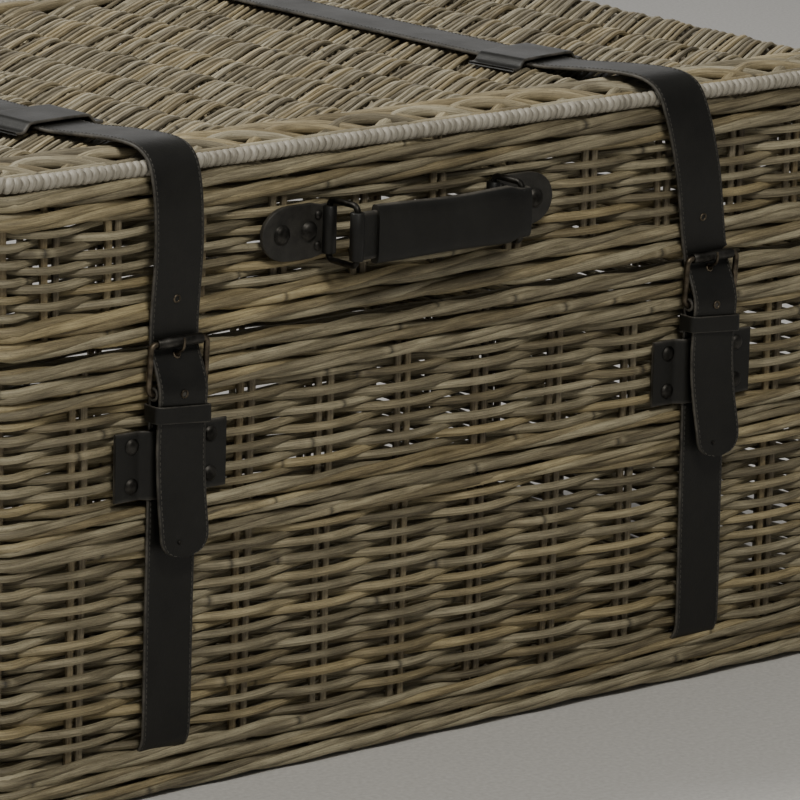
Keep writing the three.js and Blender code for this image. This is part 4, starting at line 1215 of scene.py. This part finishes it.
# ------------------------------------------------------------------ handle
def flat_plate(name, outline, body, replaced):
    """A leather plate cut to an outline of (x, z), with rounded edges, on the lid's front."""
    shape = bmesh.new()
    low = [shape.verts.new((x, -HALF_DEPTH - TAB_SEAT, z)) for x, z in outline]
    bottom = shape.faces.new(low)
    extruded = bmesh.ops.extrude_face_region(shape, geom=[bottom])
    moved = [v for v in extruded["geom"] if isinstance(v, bmesh.types.BMVert)]
    bmesh.ops.translate(shape, verts=moved, vec=(0, -TAB_THICKNESS, 0))
    bmesh.ops.recalc_face_normals(shape, faces=shape.faces)
    rim = [e for e in shape.edges if abs(e.verts[0].co.y - e.verts[1].co.y) < 1e-6]
    bmesh.ops.bevel(shape, geom=rim, offset=0.9, segments=3, affect="EDGES", profile=0.5)
    mesh = bpy.data.meshes.new(name)
    shape.to_mesh(mesh)
    shape.free()
    points = np.array([v.co for v in mesh.vertices])
    mesh.transform(Matrix.Scale(MM, 4))
    depth = np.abs(points[:, 1] + HALF_DEPTH + TAB_SEAT + TAB_THICKNESS / 2) * 2 / TAB_THICKNESS
    wear = mesh.attributes.new("wear", "FLOAT", "POINT")
    wear.data.foreach_set("value", clamp(1.2 - depth, 0, 1).astype(np.float32))
    mesh.shade_smooth()
    mesh.set_sharp_from_angle(angle=math.radians(40))
    mesh.materials.append(LEATHER)
    return place(link(name, mesh), body, replaced)


def tab_outline(bar, way):
    """The handle tab: as high as its fold at the bar, and then a plate with a round end."""
    neck, half = 17.5, 19.5
    points = [(bar, -neck), (bar + way * 5, -neck), (bar + way * 14, -half)]
    middle = bar + way * 33
    for angle in np.linspace(-0.5, 0.5, 17) * math.pi:
        points.append((middle + way * 25 * math.cos(angle) ** 0.9, half * math.sin(angle)))
    points += [(bar + way * 14, half), (bar + way * 5, neck), (bar, neck)]
    return [(x, HANDLE_Z + z) for x, z in points]


def leather_barrel(bundle, x, out):
    """Leather folded round an upright ring bar."""
    profile = tube_profile(BARREL_RADII, BARREL_HALF, 0.7)
    lathe(bundle, (x, -HALF_DEPTH - out, HANDLE_Z), UP, RIGHT, profile)


def handle():
    for side, way in (("left", -1), ("right", 1)):
        handle_tab(side, way)
        ring = Bundle()
        centre = (HANDLE_BARS[side], -HALF_DEPTH - HINGE_BAR_OUT - RING_DEPTH / 2, HANDLE_Z)
        wire_ring(ring, centre, OUT, UP, RING_DEPTH, RING_HEIGHT, 4.6, RING_WIRE)
        name = f"handle_ring_{side}"
        ring.piece(f"ring_wire_{side}", BLACK_METAL, name, "black_metal", [name])
    grip_strap()
    grip_sleeve()


def handle_tab(side, way):
    """The leather tab that holds a ring: a riveted plate, and its fold round the ring's bar."""
    bar = HANDLE_BARS[side]
    flat_plate(f"tab_plate_{side}", tab_outline(bar, way), "lid", [f"handle_tab_{side}"])
    rivet_seat = TAB_SEAT + TAB_THICKNESS + 0.1
    barrel = Bundle()
    leather_barrel(barrel, bar, HINGE_BAR_OUT)
    barrel.piece(f"tab_fold_{side}", LEATHER, "lid", "black_leather")
    for number, reach in enumerate((17, 41), start=1):
        name = f"large_stud_{side}_{number}"
        replaced = [f"handle_rivet_{side}_{number}"]
        dome_rivet(name, bar + way * reach, HANDLE_Z, rivet_seat, LARGE_RIVET, "lid", replaced)
    for number, up in enumerate((11, -11), start=1):
        name = f"small_stud_{side}_{number}"
        replaced = [f"handle_small_rivet_{side}_{number}"]
        dome_rivet(name, bar + way * 9, HANDLE_Z + up, rivet_seat, SMALL_RIVET, "lid", replaced)


def grip_strap():
    """The strap inside the grip, folded round both rings' bars."""
    core = Bundle()
    left, right = HANDLE_BARS["left"], HANDLE_BARS["right"]
    for bar in (left, right):
        leather_barrel(core, bar, GRIP_OUT)
    x = np.linspace(left + 3.4, right - 3.4, 20)
    line = np.column_stack([x, np.full(20, -HALF_DEPTH - GRIP_OUT), np.full(20, HANDLE_Z)])
    section, wear = strip_section(34.0, 5.0)
    core.sweep(line, section, OUT, wear=wear, tone=0.5)
    core.piece("grip_strap", LEATHER, "handle_grip", "black_leather", ["grip_core"])


def grip_sleeve():
    """The soft sleeve sewn round the grip's strap: fuller in its middle, and lower at its right end."""
    start, end = HANDLE_BARS["left"] + 16.0, HANDLE_BARS["right"] + 5.6
    x = np.linspace(start, end, 46)
    share = (x - start) / (end - start)
    belly = np.sin(math.pi * share)
    height = 41.5 - 2.2 * belly + 0.5 * np.sin(share * 9) - 5.5 * smooth((share - 0.86) / 0.08)
    thick = 9.4 + 2.4 * belly**0.6 + 2.2 * smooth((share - 0.8) / 0.15)
    lump = 0.25 * np.sin(share * 17) + 0.2 * np.sin(share * 41 + 1)
    angles = full_turn(40)
    cosine, sine = np.cos(angles), np.sin(angles)
    flat = np.sign(cosine) * np.abs(cosine) ** 0.62
    tall = np.sign(sine) * np.abs(sine) ** 0.42
    rings = np.empty((len(x), 40, 3))
    rings[..., 0] = x[:, None]
    rings[..., 1] = -HALF_DEPTH - GRIP_OUT + (thick / 2 + lump)[:, None] * flat
    rings[..., 2] = HANDLE_Z + height[:, None] / 2 * tall - 0.4 * belly[:, None]
    wear = clamp((np.abs(sine) - 0.9) * 8, 0, 1)
    sleeve = Bundle()
    sleeve.add_grid(rings, rings.copy(), False, 0.5, wear)
    sleeve.piece("grip_cover", LEATHER, "handle_grip", "black_leather", ["grip_sleeve"])


# ------------------------------------------------------------------ build
woven_rows(
    "base_weave",
    "base",
    FRONT_STAKES,
    [(FOOT_BAND[1], MIDDLE_BAND[0]), (MIDDLE_BAND[1], RIM_BAND[0])],
    ["base_front_wall", "base_back_wall", "base_left_wall", "base_right_wall"],
)
stakes("base_stakes", "base", FRONT_STAKES, 8.0, BASE_TOP - 6)
wale("foot_wale", "base", FOOT_BAND, 3, ["foot_band"])
wale("middle_wale", "base", MIDDLE_BAND, 3, ["base_middle_band"])
wale("base_rim_wale", "base", RIM_BAND, 3, ["base_rim_band"])
woven_floor()
woven_rows(
    "lid_weave",
    "lid",
    LID_STAKES,
    [(LID_LOW_BAND[1], LID_HIGH_BAND[0])],
    ["lid_front_wall", "lid_back_wall", "lid_left_wall", "lid_right_wall"],
)
stakes("lid_stakes", "lid", LID_STAKES, LID_BOTTOM + 5, RIM_TOP - 8)
wale("lid_lower_wale", "lid", LID_LOW_BAND, 2, ["lid_lower_band"])
wale("lid_upper_wale", "lid", LID_HIGH_BAND, 2, ["lid_upper_band"])
wrapped_rim()
hinge_parts()
lid_top_weave()
lid_border()
strap_set("left")
strap_set("right")
handle()

# ------------------------------------------------------------------ stage, light and camera
def stage():
    mesh = bpy.data.meshes.new("studio_floor")
    half = FLOOR_SIZE
    corners = [(-half, -half, 0), (half, -half, 0), (half, half, 0), (-half, half, 0)]
    mesh.from_pydata(corners, [], [(0, 1, 2, 3)])
    n = Nodes("pale_floor", 0.9)
    position = n.tree.nodes.new("ShaderNodeTexCoord").outputs["Object"]
    speck = n.noise(position, 260.0, 3.0)
    mesh.materials.append(n.finish(n.ramp(speck, (0.3, (0.5, 0.49, 0.47)), (0.7, (0.6, 0.59, 0.57)))))
    link("studio_floor", mesh)


def area_light(name, position, target, size, power, colour):
    data = bpy.data.lights.new(name, "AREA")
    data.shape = "RECTANGLE"
    data.size, data.size_y = size
    data.energy = power
    data.color = colour
    lamp = link(name, data)
    lamp.location = position
    direction = Vector(target) - Vector(position)
    lamp.rotation_euler = direction.to_track_quat("-Z", "Y").to_euler()


def studio_light():
    world = bpy.data.worlds.new("studio")
    world.use_nodes = True
    background = world.node_tree.nodes["Background"]
    background.inputs["Color"].default_value = (1.0, 0.99, 0.97, 1.0)
    background.inputs["Strength"].default_value = WORLD_STRENGTH
    bpy.context.scene.world = world
    area_light("key_light", (-1.5, 1.1, 2.7), (0.0, 0.0, 0.4), (0.8, 0.8), KEY_POWER, (1.0, 0.98, 0.93))
    front_target = (0.0, -0.25, 0.25)
    area_light("front_light", (-0.9, -2.3, 2.8), front_target, (0.9, 0.9), FRONT_POWER, (1.0, 0.97, 0.9))
    area_light("side_light", (2.2, 2.4, 1.5), (0.2, 0.0, 0.4), (1.8, 1.2), SIDE_POWER, (1.0, 0.98, 0.95))


def photo_camera():
    """The photograph's own viewpoint."""
    yaw, pitch, roll = CAMERA_TURN
    forward = Vector((math.sin(yaw) * math.cos(pitch), math.cos(yaw) * math.cos(pitch), -math.sin(pitch)))
    level = Vector((math.cos(yaw), -math.sin(yaw), 0.0))
    upright = level.cross(forward)
    right = level * math.cos(roll) + upright * math.sin(roll)
    up = upright * math.cos(roll) - level * math.sin(roll)
    data = bpy.data.cameras.new("photo_camera")
    data.sensor_width = 36.0
    data.lens = CAMERA_LENS
    data.clip_start, data.clip_end = 0.1, 30.0
    camera = link("photo_camera", data)
    turn = Matrix((right, up, -forward)).transposed().to_4x4()
    camera.matrix_world = Matrix.Translation(CAMERA_PLACE) @ turn
    bpy.context.scene.camera = camera


stage()
studio_light()
photo_camera()
